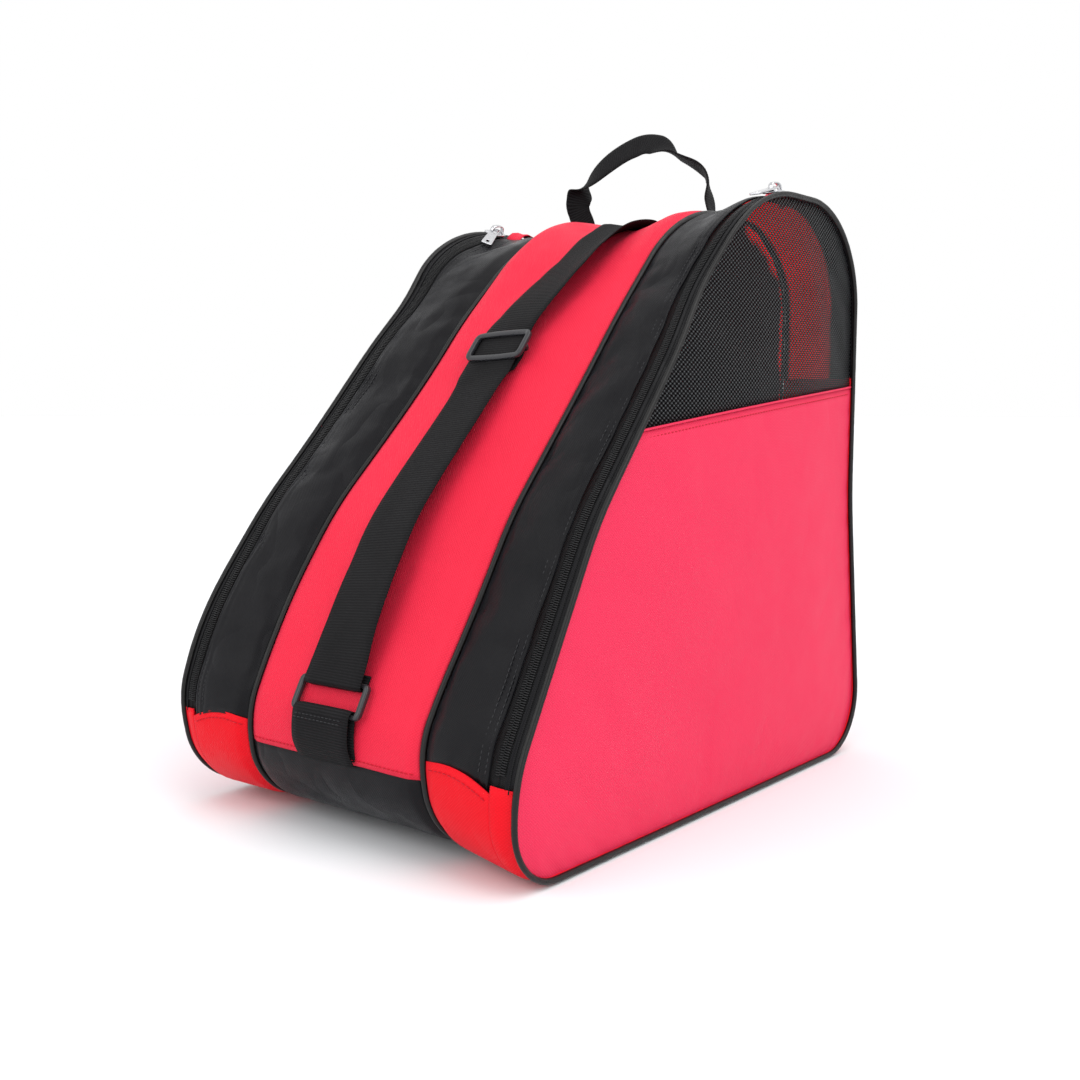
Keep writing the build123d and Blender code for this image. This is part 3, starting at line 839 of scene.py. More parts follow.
def make_gussets(side, sign):
    """Everything between a side pod's two pipings."""
    front_hem = arched(S_FOLD_FRONT - .003, .006, SEAM_OUT, ZIP_X - HALF_COIL)
    crown = .0016

    def puff(s, x):
        x = abs(x)
        span = (x - SEAM_OUT) / (ZIP_X - SEAM_OUT)
        soft = .0016 * ripple(x, s, 7.0 + sign, .05) + .0008 * ripple(x, s, 9.0 + sign, .018)
        stitch = -.00045 * hump(x, GUSSET_EDGE - ZIP_SEAMS[0], .0008)
        stitch -= .00035 * hump(x, GUSSET_EDGE - ZIP_SEAMS[1], .0009)
        fade = math.sin(math.pi * min(max(span, 0), 1)) ** .7
        return seam_sink(x - SEAM_OUT) + (crown + soft) * fade + stitch

    def low_puff(s, x):
        x = abs(x)
        outer = seam_sink(PANEL_X - x)
        near_floor = 1 - smooth((BAG.point(s)[1] - .004) / .03)
        soft = .0013 * ripple(x, s, 5.0 + sign, .05)
        full = (crown + soft) * math.sin(math.pi * (x - SEAM_OUT) / (PANEL_X - SEAM_OUT)) ** .7
        return seam_sink(x - SEAM_OUT) + outer + full * (1 - near_floor)

    ends = sorted((sign * SEAM_OUT, sign * GUSSET_EDGE))
    black = band(side + "_gusset_cloth", (front_hem, S_FOLD_BACK), ends, puff, 26, BLACK,
                 sim=(1.2, .0022, .003), lining=LINING)
    place(black, "black_oxford", "bag", side + "_gusset_black")

    ends = sorted((sign * SEAM_OUT, sign * (ZIP_X - HALF_COIL)))
    low_end = S_FOLD_BACK - BAG.total - .001
    # the red corner cloth takes the deeper copy with the painted shade
    red = band(side + "_corner_cloth", (low_end, lambda x: front_hem(x) + .0012), ends,
               lambda s, x: low_puff(s, x) + .0004, 22, CORNER_RED_PAINTED_SHADE)
    place(red, "red_oxford", "bag", side + "_gusset_red_base")

    ends = sorted((sign * (ZIP_X - HALF_COIL), sign * (PANEL_X + UNDER_CORD)))
    strip = band(side + "_corner_strip", (low_end, S_FOLD_FRONT), ends,
                 lambda s, x: low_puff(s, min(abs(x), PANEL_X)) + .0004, 9, CORNER_RED_PAINTED_SHADE)
    fold(strip)
    place(strip, "red_oxford")

    ends = sorted((sign * (ZIP_X + HALF_COIL + .0012), sign * (PANEL_X + UNDER_CORD)))
    top = band(side + "_gusset_strip_cloth", (S_FOLD_FRONT, S_FOLD_BACK), ends,
               lambda s, x: seam_sink((PANEL_X - abs(x)) * 1.6) + .0002, 7, BLACK, thickness=.001)
    fold(top)
    place(top, "black_oxford", None, side + "_gusset_strip")

    zip_range = (S_FOLD_FRONT + ZIP_END, S_FOLD_BACK - ZIP_END)
    tape_range = (S_FOLD_FRONT - .002, S_FOLD_BACK)
    for half, x0, x1, body, direction in (
            ("fixed", GUSSET_EDGE - .003, ZIP_X - .0001, "bag", -1),
            ("flap", ZIP_X + .0001, ZIP_X + HALF_COIL + .003, side + "_flap_body", 1)):
        phase = COIL_PITCH / 2 if half == "flap" else 0
        tape = band(f"{side}_zip_tape_{half}_cloth", tape_range, sorted((sign * x0, sign * x1)),
                    lambda s, x: -TAPE_DEPTH, 5, TAPE, thickness=.0005)
        line = outline_line(sign * ZIP_X, *zip_range, COIL_RISE - TAPE_DEPTH, .002)
        turns = coil(f"{side}_zip_coil_{half}_turns", line, -direction * sign, phase)
        if half == "flap":
            fold(tape)
        place(tape, "zip_tape", None if half == "flap" else body, f"{side}_zip_tape_{half}")
        place(turns, "zip_coil", body, f"{side}_zip_coil_{half}")

    for number, inboard in enumerate(ZIP_SEAMS):
        x = GUSSET_EDGE - inboard
        ends = (S_FOLD_FRONT + .004, S_FOLD_BACK - .004)
        line = outline_line(sign * x, *ends, .0001)
        lifted = [(p + n * puff(lerp(*ends, i / (len(line) - 1)), x), n) for i, (p, n) in enumerate(line)]
        thread = stitches(f"{side}_zip_stitches_{number + 1}", lifted, THREAD_BLACK)
        place(thread, "black_oxford", "bag")

    line = []
    for i in range(24):
        x = lerp(SEAM_OUT + .003, ZIP_X - HALF_COIL - .002, i / 23)
        s = front_hem(x) - .0035
        line.append((on_bag(sign * x, s, low_puff(s, x) + .0006), out_of(s)))
    thread = stitches(side + "_corner_stitches", line, THREAD_RED)
    place(thread, "red_oxford", "bag")


def make_side_piping(side, sign):
    piping = tube(side + "_side_piping_cord", sign * PIPE_X, -PIPE, CORD)
    fold(piping)
    place(piping, "black_piping", None, side + "_side_piping_upper", side + "_side_piping_lower")
    seam = tube(side + "_seam_piping_cord", sign * SEAM_X, -PIPE - .0005, PIPE * .87)
    place(seam, "black_piping", "bag", side + "_seam_piping")


def make_divider(side, sign):
    """The lining wall between a side pod and the centre pod, a little slack."""
    columns, rows = 40, 40
    inset = .0048
    edge = [BAG.at(BAG.total * i / 900, -inset) for i in range(900)]
    verts, uvs = [], []
    for i in range(rows):
        z = lerp(inset + .0003, TOP_Z - inset - .0003, (1 - math.cos(math.pi * i / (rows - 1))) / 2)
        hits = [lerp(a[0], b[0], (z - a[1]) / (b[1] - a[1])) for a, b in zip(edge, edge[1:])
                if (a[1] - z) * (b[1] - z) <= 0 and a[1] != b[1]]
        for j in range(columns):
            y = lerp(min(hits), max(hits), j / (columns - 1))
            slack = smooth(min(y - min(hits), max(hits) - y) / .05) * smooth(min(z, TOP_Z - z) / .05)
            x = SEAM_X + .0012 * ripple(y, z, 11.0, .07) * slack
            verts.append((sign * x, y, z))
            uvs.append((y, z))
    piece = make(side + "_divider_cloth", verts, grid_faces(rows, columns, flip=sign < 0), uvs, DIVIDER)
    thicken(piece, .0016, offset=0)
    place(piece, "red_lining", "bag", side + "_inner_divider")


def divider_material():
    """Lining painted dark as shade, red and glowing as painted light near the top and back, where light gets
    in.
    """
    g = lining_graph("divider_lining")
    _, y, z = g.split(g.place(False))
    wander = g.math("MULTIPLY", g.math("SUBTRACT", g.noise(26.0, 3.0), .5), .024)
    height = g.math("ADD", g.math("ADD", z, g.math("MULTIPLY", y, .6)), wander)
    # the red, glowing patch near the top and back is painted light; the rest is painted shade
    top = g.math("MULTIPLY", g.ramp(height, .430, .436), g.ramp(g.math("ADD", y, wander), .118, .126))
    back = g.ramp(g.math("ADD", y, wander), .168, .172)
    return finish_lining(g, g.math("MAXIMUM", top, back))


DIVIDER = divider_material()


# ---- Centre pod ----
CENTRE_CROWN = .0019


def centre_height(s, x):
    edge = SEAM_IN - abs(x)
    t = abs(x) / SEAM_IN
    near_floor = 1 - smooth((BAG.point(s)[1] - .004) / .03)
    soft = .0008 * ripple(x, s, 1.0, .07) * smooth(edge / .02)
    return seam_sink(edge) + (CENTRE_CROWN * (1 - t ** 4) + soft) * (1 - near_floor)


def make_centre():
    span = (-SEAM_IN, SEAM_IN)
    front = band("centre_front_cloth", (S_FRONT_SEAM, S_TOP_SEAM), span, centre_height, 40, RED)
    base = band("centre_bottom_cloth", (S_BACK_SEAM - BAG.total, S_FRONT_SEAM + .0012), span,
                lambda s, x: centre_height(s, x) - .0003, 30, BLACK)
    place(front, "red_oxford", "bag", "centre_front_panel")
    place(base, "black_oxford", "bag", "centre_bottom_panel")
    for name, s in (("front_seam", S_FRONT_SEAM + .003), ("top_seam", S_TOP_SEAM - .003)):
        line = []
        for i in range(50):
            x = lerp(-SEAM_IN + .003, SEAM_IN - .003, i / 49)
            line.append((on_bag(x, s, centre_height(s, x) + .0002), out_of(s)))
        row = stitches(name + "_stitches", line, THREAD_RED)
        place(row, "red_oxford", "bag")


# ---- Back flap and its zip ----
FLAP_HINGE_Z, FLAP_TOP_Z, FLAP_HALF, FLAP_CORNER = .095, .300, .052, .032
FLAP_COIL_Z, BACK_ZIP_FOOT_Z = .099, .066


def back_s(z):
    return BAG.where(1, z, HALF + .05, BAG.total * .96)


FLAP_S = {"top": back_s(FLAP_TOP_Z), "hinge": back_s(FLAP_HINGE_Z), "coil": back_s(FLAP_COIL_Z),
          "foot": back_s(BACK_ZIP_FOOT_Z)}
CLOTH_GAP = HALF_COIL + CLOTH_EDGE
TAPE_OUT = CENTRE_CROWN - TAPE_DEPTH
COIL_OUT = TAPE_OUT + COIL_RISE


def flap_loop(grow, foot):
    """The flap's outline in X and distance: up its left side from foot, over its top and down its right."""
    half, top, corner = FLAP_HALF + grow, FLAP_S["top"] - grow, FLAP_CORNER + grow
    side = [(-half, lerp(foot, top + corner, i / 56)) for i in range(57)]
    arc = [(-half + corner - corner * math.cos(a), top + corner - corner * math.sin(a))
           for a in (math.pi / 2 * k / 16 for k in range(1, 17))]
    flat = [(lerp(-half + corner, 0, i / 10), top) for i in range(1, 10)]
    left = side + arc + flat
    return left + [(0, top)] + [(-x, d) for x, d in reversed(left)]


def zip_dip(distance):
    """Cloth beside a zip: a folded edge and two shallow stitched grooves."""
    return -.0004 * hump(distance, ZIP_SEAMS[0], .0008) - .0003 * hump(distance, ZIP_SEAMS[1], .0009)


def back_panel():
    """The panel round the flap, from the flap's outline out to the seams."""
    inner = flap_loop(CLOTH_GAP, FLAP_S["foot"])
    bottom = [(lerp(inner[-1][0], inner[0][0], i / 30), FLAP_S["foot"]) for i in range(1, 30)]
    inner += bottom
    middle = (0, (FLAP_S["top"] + FLAP_S["foot"]) / 2)
    low, high = S_TOP_SEAM, S_BACK_SEAM
    outer = []
    for x, d in inner:
        dx, dd = x - middle[0], d - middle[1]
        aside = SEAM_IN / abs(dx) if dx else math.inf
        along = ((high if dd > 0 else low) - middle[1]) / dd if dd else math.inf
        reach = min(aside, along)
        outer.append((middle[0] + dx * reach, middle[1] + dd * reach))
    rows, columns = 16, len(inner)
    verts, uvs = [], []
    for i in range(rows):
        t = i / (rows - 1)
        for (x0, d0), (x1, d1) in zip(inner, outer):
            x, d = lerp(x0, x1, t), lerp(d0, d1, t)
            away = math.dist((x, d), (x0, d0))
            verts.append(on_bag(x, d, centre_height(d, x) + zip_dip(away)))
            uvs.append((x, d))
    panel = make("centre_back_cloth", verts, grid_faces(rows, columns, closed=True), uvs, BLACK)
    thicken(panel, .0012)
    filler = []
    for i in range(8):
        for j in range(24):
            x = lerp(-FLAP_HALF + CLOTH_GAP, FLAP_HALF - CLOTH_GAP, j / 23)
            filler.append((x, lerp(FLAP_S["hinge"] + .0002, FLAP_S["foot"], i / 7)))
    piece = make("centre_back_bridge", [on_bag(x, d, centre_height(d, x)) for x, d in filler],
                 grid_faces(8, 24), filler, BLACK)
    thicken(piece, .0012)
    place(panel, "black_oxford", "bag", "centre_back_panel")
    place(piece, "black_oxford", "bag")


def flap_cloth():
    """The flap itself, laid on the back of the bag above its foot."""
    half, top, corner = FLAP_HALF - CLOTH_GAP, FLAP_S["top"] + CLOTH_GAP, FLAP_CORNER - CLOTH_GAP
    rows, columns = 52, 30
    verts, uvs = [], []
    for i in range(rows):
        d = lerp(top + .00005, FLAP_S["hinge"] + .006, (i / (rows - 1)) ** 1.25)
        into = max(0.0, top + corner - d)
        width = half - corner + math.sqrt(max(corner ** 2 - into ** 2, 0))
        for j in range(columns):
            x = lerp(-width, width, j / (columns - 1))
            edge = min(width - abs(x), d - top)
            soft = .0012 * ripple(x, d, 21.0, .05) * smooth(edge / .02)
            verts.append(on_bag(x, d, CENTRE_CROWN + soft + zip_dip(edge) + .0002))
            uvs.append((x, d))
    flap = make("back_flap_cloth", verts, grid_faces(rows, columns), uvs, BLACK)
    thicken(flap, .0012)
    hinge = Vector((0, *BAG.at(FLAP_S["hinge"], 0)))
    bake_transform(flap)
    place(flap, "black_oxford", None, "back_flap")


def back_zip():
    for half, direction, body, foot in (("fixed", 1, "bag", "foot"),
                                        ("flap", -1, "back_flap_body", "coil")):
        near = flap_loop(.0001 * direction, FLAP_S[foot])
        far = flap_loop((CLOTH_GAP + .003) * direction, FLAP_S[foot])
        verts, uvs = [], []
        for i in range(4):
            for (x0, d0), (x1, d1) in zip(near, far):
                x, d = lerp(x0, x1, i / 3), lerp(d0, d1, i / 3)
                verts.append(on_bag(x, d, TAPE_OUT))
                uvs.append((lerp(0, .0086, i / 3), d))
        tape = make(f"back_zip_tape_{half}_cloth", verts, grid_faces(4, len(near), flip=direction < 0), uvs,
                    TAPE)
        thicken(tape, .0005)
        loop = flap_loop(0, FLAP_S[foot])
        line = [(on_bag(x, d, COIL_OUT), out_of(d)) for x, d in loop]
        turns = coil(f"back_zip_coil_{half}_turns", line, -direction, COIL_PITCH / 2 * (direction < 0))
        thread_line = flap_loop((CLOTH_GAP + ZIP_SEAMS[0]) * direction, FLAP_S["hinge"] - .004)
        thread = stitches(f"back_zip_stitches_{half}", [
            (on_bag(x, d, centre_height(d, x) - .0001 if half == "fixed" else CENTRE_CROWN - .0001),
             out_of(d)) for x, d in thread_line], THREAD_BLACK)
        place(tape, "zip_tape", body, f"back_zip_tape_{half}")
        place(turns, "zip_coil", body, f"back_zip_coil_{half}")
        place(thread, "black_oxford", body)
    # below the flap both halves are sewn to the fixed panel
    for side, sign in SIDES:
        x = FLAP_HALF * sign
        line = [(on_bag(x, lerp(FLAP_S["foot"], FLAP_S["hinge"] + .001, i / 12), COIL_OUT),
                 out_of(FLAP_S["foot"])) for i in range(13)]
        turns = coil(f"back_zip_foot_{side}", line, -sign, COIL_PITCH / 2)
        place(turns, "zip_coil", "bag")
        verts = [on_bag(x - sign * lerp(.0002, CLOTH_GAP + .002, j / 3),
                        lerp(FLAP_S["foot"], FLAP_S["hinge"], i / 7), TAPE_OUT)
                 for i in range(8) for j in range(4)]
        tape = make(f"back_zip_foot_tape_{side}", verts, grid_faces(8, 4, flip=sign < 0),
                    [(v.x, v.z) for v in verts], TAPE)
        thicken(tape, .0005)
        place(tape, "zip_tape", "bag")


# ---- Sliders and pulls ----
PLATE_LENGTH, PLATE_WIDTH, PLATE_THICK = .015, .010, .0016
SLIDER_BASE = .0015
BRIDGE_GAP = .0040
PULL_LENGTH, PULL_WIDTH, PULL_THICK = .026, .0074, .0014


def frame_matrix(origin, x_dir, z_dir):
    x_dir, z_dir = Vector(x_dir).normalized(), Vector(z_dir).normalized()
    y_dir = z_dir.cross(x_dir)
    return Matrix(((x_dir.x, y_dir.x, z_dir.x, origin[0]), (x_dir.y, y_dir.y, z_dir.y, origin[1]),
                   (x_dir.z, y_dir.z, z_dir.z, origin[2]), (0, 0, 0, 1)))


def rounded_outline(corners, radius, steps=5):
    """A polygon's corners rounded off."""
    points = []
    count = len(corners)
    for i, corner in enumerate(corners):
        before = Vector(unit(corner, corners[i - 1]))
        after = Vector(unit(corner, corners[(i + 1) % count]))
        a, b = Vector(corner) + before * radius, Vector(corner) + after * radius
        for k in range(steps + 1):
            t = k / steps
            points.append(a.lerp(Vector(corner), t).lerp(Vector(corner).lerp(b, t), t))
    return points


def box_corners(x0, x1, half):
    return [(x0, -half), (x1, -half), (x1, half), (x0, half)]


def plate_parts(outlines, thickness, bevel, matrix):
    """A flat plate with rounded edges and holes, as vertices and faces in place."""
    curve = bpy.data.curves.new("plate", "CURVE")
    curve.dimensions = "2D"
    curve.fill_mode = "BOTH"
    curve.extrude = thickness / 2 - bevel
    curve.bevel_depth = bevel
    curve.bevel_resolution = 2
    for outline in outlines:
        spline = curve.splines.new("POLY")
        spline.points.add(len(outline) - 1)
        for point, (x, y) in zip(spline.points, outline):
            point.co = (x, y, 0, 1)
        spline.use_cyclic_u = True
    holder = bpy.data.objects.new("plate", curve)
    scene.collection.objects.link(holder)
    mesh = bpy.data.meshes.new_from_object(holder.evaluated_get(bpy.context.evaluated_depsgraph_get()))
    verts = [matrix @ v.co for v in mesh.vertices]
    faces = [tuple(f.vertices) for f in mesh.polygons]
    bpy.data.objects.remove(holder)
    return verts, faces


def swept_parts(points, sideways, half_width, half_thick):
    """A flat strip with rounded edges along a line, as vertices and faces."""
    verts = []
    steps = 8
    for i, point in enumerate(points):
        along = (points[min(i + 1, len(points) - 1)] - points[max(i - 1, 0)]).normalized()
        up = along.cross(sideways)
        for k in range(steps):
            turn = 2 * math.pi * (k + .5) / steps
            a, b = math.cos(turn), math.sin(turn)
            verts.append(point + sideways * (half_width * math.copysign(abs(a) ** .5, a))
                         + up * (half_thick * math.copysign(abs(b) ** .5, b)))
    return verts, tube_faces(len(points), steps)


def make_slider(name, node, body, matrix):
    """A slider: a tapered plate with a raised spine and a bridge for the pull."""
    local = lambda x, y, z: matrix @ Vector((x, y, z))
    anchor = matrix.translation.copy()
    length, width = PLATE_LENGTH / 2, PLATE_WIDTH / 2
    outline = rounded_outline([(-length, -width), (length * .35, -width), (length, -width * .62),
                               (length, width * .62), (length * .35, width), (-length, width)], .0014)
    top = SLIDER_BASE + PLATE_THICK
    parts = [plate_parts([outline], PLATE_THICK, .0004,
                         matrix @ Matrix.Translation((0, 0, SLIDER_BASE + PLATE_THICK / 2)))]
    across = (matrix.to_3x3() @ Vector((0, 1, 0))).normalized()
    arch = [local(x, 0, top + z) for x, z in
            ((-.0058, -.0004), (-.0058, .0022), (-.0052, .0038), (-.0038, .0047), (-.0015, .0050),
             (.0015, .0050), (.0038, .0046), (.0052, .0036), (.0058, .0020), (.0060, -.0004))]
    parts.append(swept_parts(arch, across, .0015, .0006))
    slider = join_meshes(name, parts, METAL, slack=anchor)
    place(slider, "slider_metal", body, node)


def make_pull(name, node, body, matrix, droop, aside=0.0):
    """A flat pull with a square eye at the bridge and an oval hole at its free end."""
    anchor = matrix.translation.copy()
    lie = matrix @ Matrix.Translation((-.0015, 0, SLIDER_BASE + PLATE_THICK + BRIDGE_GAP / 2))
    lie = lie @ Matrix.Rotation(math.radians(aside), 4, "Z")
    lie = lie @ Matrix.Rotation(-math.radians(droop), 4, "Y")
    end = .0008 - PULL_LENGTH
    half = PULL_WIDTH / 2
    outline = rounded_outline([(.0008, -half * .86), (.0008, half * .86), (-.008, half * .80), (end, half),
                               (end, -half), (-.008, -half * .80)], .0014)
    eye = rounded_outline(box_corners(-.0071, -.0009, .0021), .0006)[::-1]
    oval = [(.0040 + end + .0021 * math.cos(a), .00115 * math.sin(a) * 1.3)
            for a in (2 * math.pi * k / 20 for k in range(20))]
    plate = plate_parts([outline, eye, oval], PULL_THICK, .0003, lie)
    pull = join_meshes(name, [plate], METAL, slack=anchor)
    place(pull, "slider_metal", body, node)


TOP_CENTRE = (.08333, TOP_Z - RADII[3])         # of the arc over the top
SLIDER_ANGLE = math.radians(94.5)
BACK_SLIDER_Z = .080
LEFT_ROLL = 28                  # degrees: the left zip lies on the slope of its sunken pod
PULL_LIE = {"right": (11.0, 0.0), "left": (13.0, 30.0)}      # how far each pull droops and turns aside


def make_zip_furniture():
    out = (math.cos(SLIDER_ANGLE), math.sin(SLIDER_ANGLE))
    for side, sign in SIDES:
        origin = (ZIP_X * sign, *(middle + RADII[3] * part for middle, part in zip(TOP_CENTRE, out)))
        matrix = frame_matrix(origin, (0, out[1], -out[0]), (0, *out))
        if side == "left":
            matrix = matrix @ Matrix.Rotation(math.radians(LEFT_ROLL), 4, "X")
        make_slider(side + "_slider_body", side + "_zip_slider", side + "_slider", matrix)
        make_pull(side + "_pull_tab", side + "_zip_pull", side + "_pull", matrix, *PULL_LIE[side])
        line = [Vector((sign * .1120, y, z)) for y, z in
                ((.0800, .3762), (.0835, .3798), (.0880, .3824), (.0930, .3830), (.0985, .3816),
                 (.1030, .3792), (.1080, .3762))]
        up = [Vector((0, 0, 1))] * len(line)
        tab = sweep(side + "_end_tab_cloth", line, up, strip_section(.0100, .0014), RED)
        place(tab, "red_oxford", "bag", side + "_zip_end_tab")
    down = unit(CORNERS[5], CORNERS[6])
    along = (CORNERS[5][1] - BACK_SLIDER_Z) / -down[1]
    origin = (FLAP_HALF, CORNERS[5][0] + along * down[0], BACK_SLIDER_Z)
    matrix = frame_matrix(origin, (0, -down[0], -down[1]), (0, -down[1], down[0]))
    make_slider("back_slider_body", "back_zip_slider", "back_slider", matrix)
    make_pull("back_pull_tab", "back_zip_pull", "back_pull", matrix, 0.0)


# ---- Webbing, loop, tri-glide and handle ----
def strip_section(width, thick, rib=0.0, points=9):
    """A flat strip's section with rounded edges. Every other station is thinner by rib."""
    def section(i):
        half = thick / 2 - (rib if i % 2 else 0.0)
        top = []
        for k in range(points):
            t = -1 + 2 * k / (points - 1)
            edge = math.sqrt(max(1 - abs(t) ** 8, 0))
            top.append((t * width / 2, half * (.25 + .75 * edge)))
        return top + [(a, -b) for a, b in reversed(top)]
    return section


def smooth_line(points, step):
    """A smooth, evenly divided curve through a few points, and where each division lies among them."""
    points = [Vector(p) for p in points]
    dense = []
    for i in range(len(points) - 1):
        p0, p1, p2 = points[max(i - 1, 0)], points[i], points[i + 1]
        p3 = points[min(i + 2, len(points) - 1)]
        for k in range(24):
            t = k / 24
            dense.append((i + t, .5 * ((2 * p1) + (p2 - p0) * t + (2 * p0 - 5 * p1 + 4 * p2 - p3) * t ** 2
                                       + (3 * p1 - p0 - 3 * p2 + p3) * t ** 3)))
    dense.append((len(points) - 1.0, points[-1]))
    line, marks = [dense[0][1]], [0.0]
    carry = 0.0
    for (m0, a), (m1, b) in zip(dense, dense[1:]):
        span = (b - a).length
        done = 0.0
        while carry + span - done >= step:
            done += step - carry
            line.append(a.lerp(b, done / span))
            marks.append(lerp(m0, m1, done / span))
            carry = 0.0
        carry += span - done
    return line, marks


WEB_WIDTH, WEB_THICK = .046, .0018
RIB_STEP = .00085


def webbing(name, stations, width=WEB_WIDTH, slack="soft", rolls=None, across=None, pinch=0.0):
    """Ribbed webbing through (x, y, z) stations. Its flat side faces away from the bag, rolled over by
    rolls degrees at each station, or lies along the given across directions. pinch is the share of its
    width that it loses inside the adjuster."""
    line, marks = smooth_line(stations, RIB_STEP)
    ups = []
    for i, mark in enumerate(marks):
        along = (line[min(i + 1, len(line) - 1)] - line[max(i - 1, 0)]).normalized()
        k = min(int(mark), len(stations) - 2)
        t = mark - k
        if across is not None:
            ups.append(Vector(across[k]).lerp(Vector(across[k + 1]), smooth(t)).cross(along))
        else:
            roll = lerp(rolls[k], rolls[k + 1], t) if rolls else 0
            up = Vector((1, 0, 0)).cross(along).normalized()
            ups.append(Matrix.Rotation(-math.radians(roll), 3, along) @ up)
    strip = strip_section(width, WEB_THICK, .00016, 11)

    def section(i):
        narrow = 1 - pinch * hump((line[i] - GLIDE_AT).length, 0, .020)
        return [(a * narrow, b) for a, b in strip(i)]
    return sweep(name, line, ups, section, WEBBING, slack=slack)


LOOP_Z, LOOP_BAR, BAR_OUT = .0775, .009, .0056
S_LOOP = BAG.where(1, LOOP_Z, BAG.total * .1, HALF)
S_GLIDE = BAG.where(1, .2733, BAG.total * .1, HALF)
SLOPE = Vector((0, *unit(CORNERS[2], CORNERS[3])))
SLOPE_OUT = Vector((0, -SLOPE.z, SLOPE.y))
NOSE = Vector((0, *unit(CORNERS[1], CORNERS[2])))
NOSE_OUT = Vector((0, -NOSE.z, NOSE.y))
LOOP_AT = Vector((0, CORNERS[1][0] + (LOOP_Z - CORNERS[1][1]) * NOSE.y / NOSE.z, LOOP_Z))
GLIDE_AT = Vector((0, *CORNERS[2])) + SLOPE * .116           # the adjuster, up the main slope
GLIDE_ROLL = 3.0                # degrees that the adjuster sits rolled on the slack strap


def make_strap():
    """The webbing: up over the adjuster to the top seam, and back under itself from the lower loop."""
    bar = LOOP_AT + NOSE * LOOP_BAR + NOSE_OUT * BAR_OUT
    layer = .0025
    fold_up = [bar + NOSE_OUT * (layer * math.sin(a)) - NOSE * (layer * math.cos(a))
               for a in (math.radians(t) for t in (-80, -50, -20, 20, 50, 80))]
    lower = [on_bag(0, S_LOOP + .0165, .0031)]
    # each station: distance along the outline, height out, sideways shift and roll in degrees
    run = [(S_LOOP + .020, .0088, 0, 2), (S_LOOP + .045, .0105, -.001, 8), (S_LOOP + .080, .0112, -.002, 10),
           (S_LOOP + .120, .0098, -.003, 9), (S_GLIDE - .040, .0080, -.002, 8),
           (S_GLIDE - .022, .0078, -.0022, GLIDE_ROLL), (S_GLIDE - .011, .0079, -.0025, GLIDE_ROLL),
           (S_GLIDE, .0082, -.0024, GLIDE_ROLL), (S_GLIDE + .011, .0079, -.0018, GLIDE_ROLL),
           (S_GLIDE + .024, .0088, .001, 9), (S_GLIDE + .045, .0100, .006, 12),
           (S_GLIDE + .070, .0100, .011, 15), (S_GLIDE + .095, .0082, .015, 15),
           (S_GLIDE + .125, .0055, .013, 10), (S_TOP_SEAM - .045, .0036, .006, 4),
           (S_TOP_SEAM - .025, .0028, 0, 0), (S_TOP_SEAM - .009, .0022, -.006, 0),
           (S_TOP_SEAM, .0010, -.010, 0)]
    upper = [on_bag(x, s, out) for s, out, x, _ in run]
    rolls = [0] * (len(lower) + len(fold_up)) + [roll for *_, roll in run]
    strap = webbing("strap_webbing_cloth", lower + fold_up + upper, rolls=rolls, pinch=.04)
    place(strap, "black_webbing", "bag", "strap_webbing")

    bar = LOOP_AT - NOSE * LOOP_BAR + NOSE_OUT * BAR_OUT
    seam = on_bag(0, S_FRONT_SEAM - .001, .0006)
    back = [seam, on_bag(0, S_FRONT_SEAM + .008, .0024), bar - NOSE * .004 - NOSE_OUT * layer]
    fold_down = [bar + NOSE_OUT * (layer * math.sin(a)) + NOSE * (layer * math.cos(a))
                 for a in (math.radians(t) for t in (-75, -45, -15, 15, 45, 75))]
    front = [bar - NOSE * .004 + NOSE_OUT * layer, on_bag(0, S_FRONT_SEAM + .010, .0072),
             on_bag(0, S_FRONT_SEAM - .001, .0030)]
    tab = webbing("strap_tab_cloth", back + fold_down + front)
    place(tab, "black_webbing", "bag", "strap_tab")
    for number, d in enumerate((.0050, .0074)):
        line = []
        for i in range(20):
            x = lerp(-.020, .020, i / 19)
            p = bar - NOSE * d + NOSE_OUT * (layer + .0009)
            line.append((Vector((x, p.y, p.z)), NOSE_OUT))
        row = stitches(f"strap_tab_stitches_{number + 1}", line, THREAD_BLACK)
        place(row, "black_webbing", "bag")

    tail = [GLIDE_AT + SLOPE * d + SLOPE_OUT * out for d, out in
            ((-.0150, .0040), (-.0100, .0036), (-.0060, .0033), (-.0015, .0034), (.0022, .0044),
             (.0022, .0062))]
    end = webbing("strap_sewn_end_cloth", tail, .036)
    place(end, "black_webbing", "strap_adjuster", "strap_sewn_end")


def ring_path(half_x, half_along, corner, matrix_of, bow=0.0):
    """A closed rounded rectangle, as (point, how near a side bar)."""
    outline = rounded_outline([(-half_x, -half_along), (half_x, -half_along), (half_x, half_along),
                               (-half_x, half_along)], corner, 6)
    dense = []
    count = len(outline)
    for i in range(count):
        a, b = outline[i], outline[(i + 1) % count]
        pieces = max(1, int((b - a).length / .002))
        for k in range(pieces):
            dense.append(a.lerp(b, k / pieces))
    return [(matrix_of(p.x, p.y + math.copysign(bow * (1 - (p.x / half_x) ** 2), p.y)), abs(p.x) / half_x)
            for p in dense]


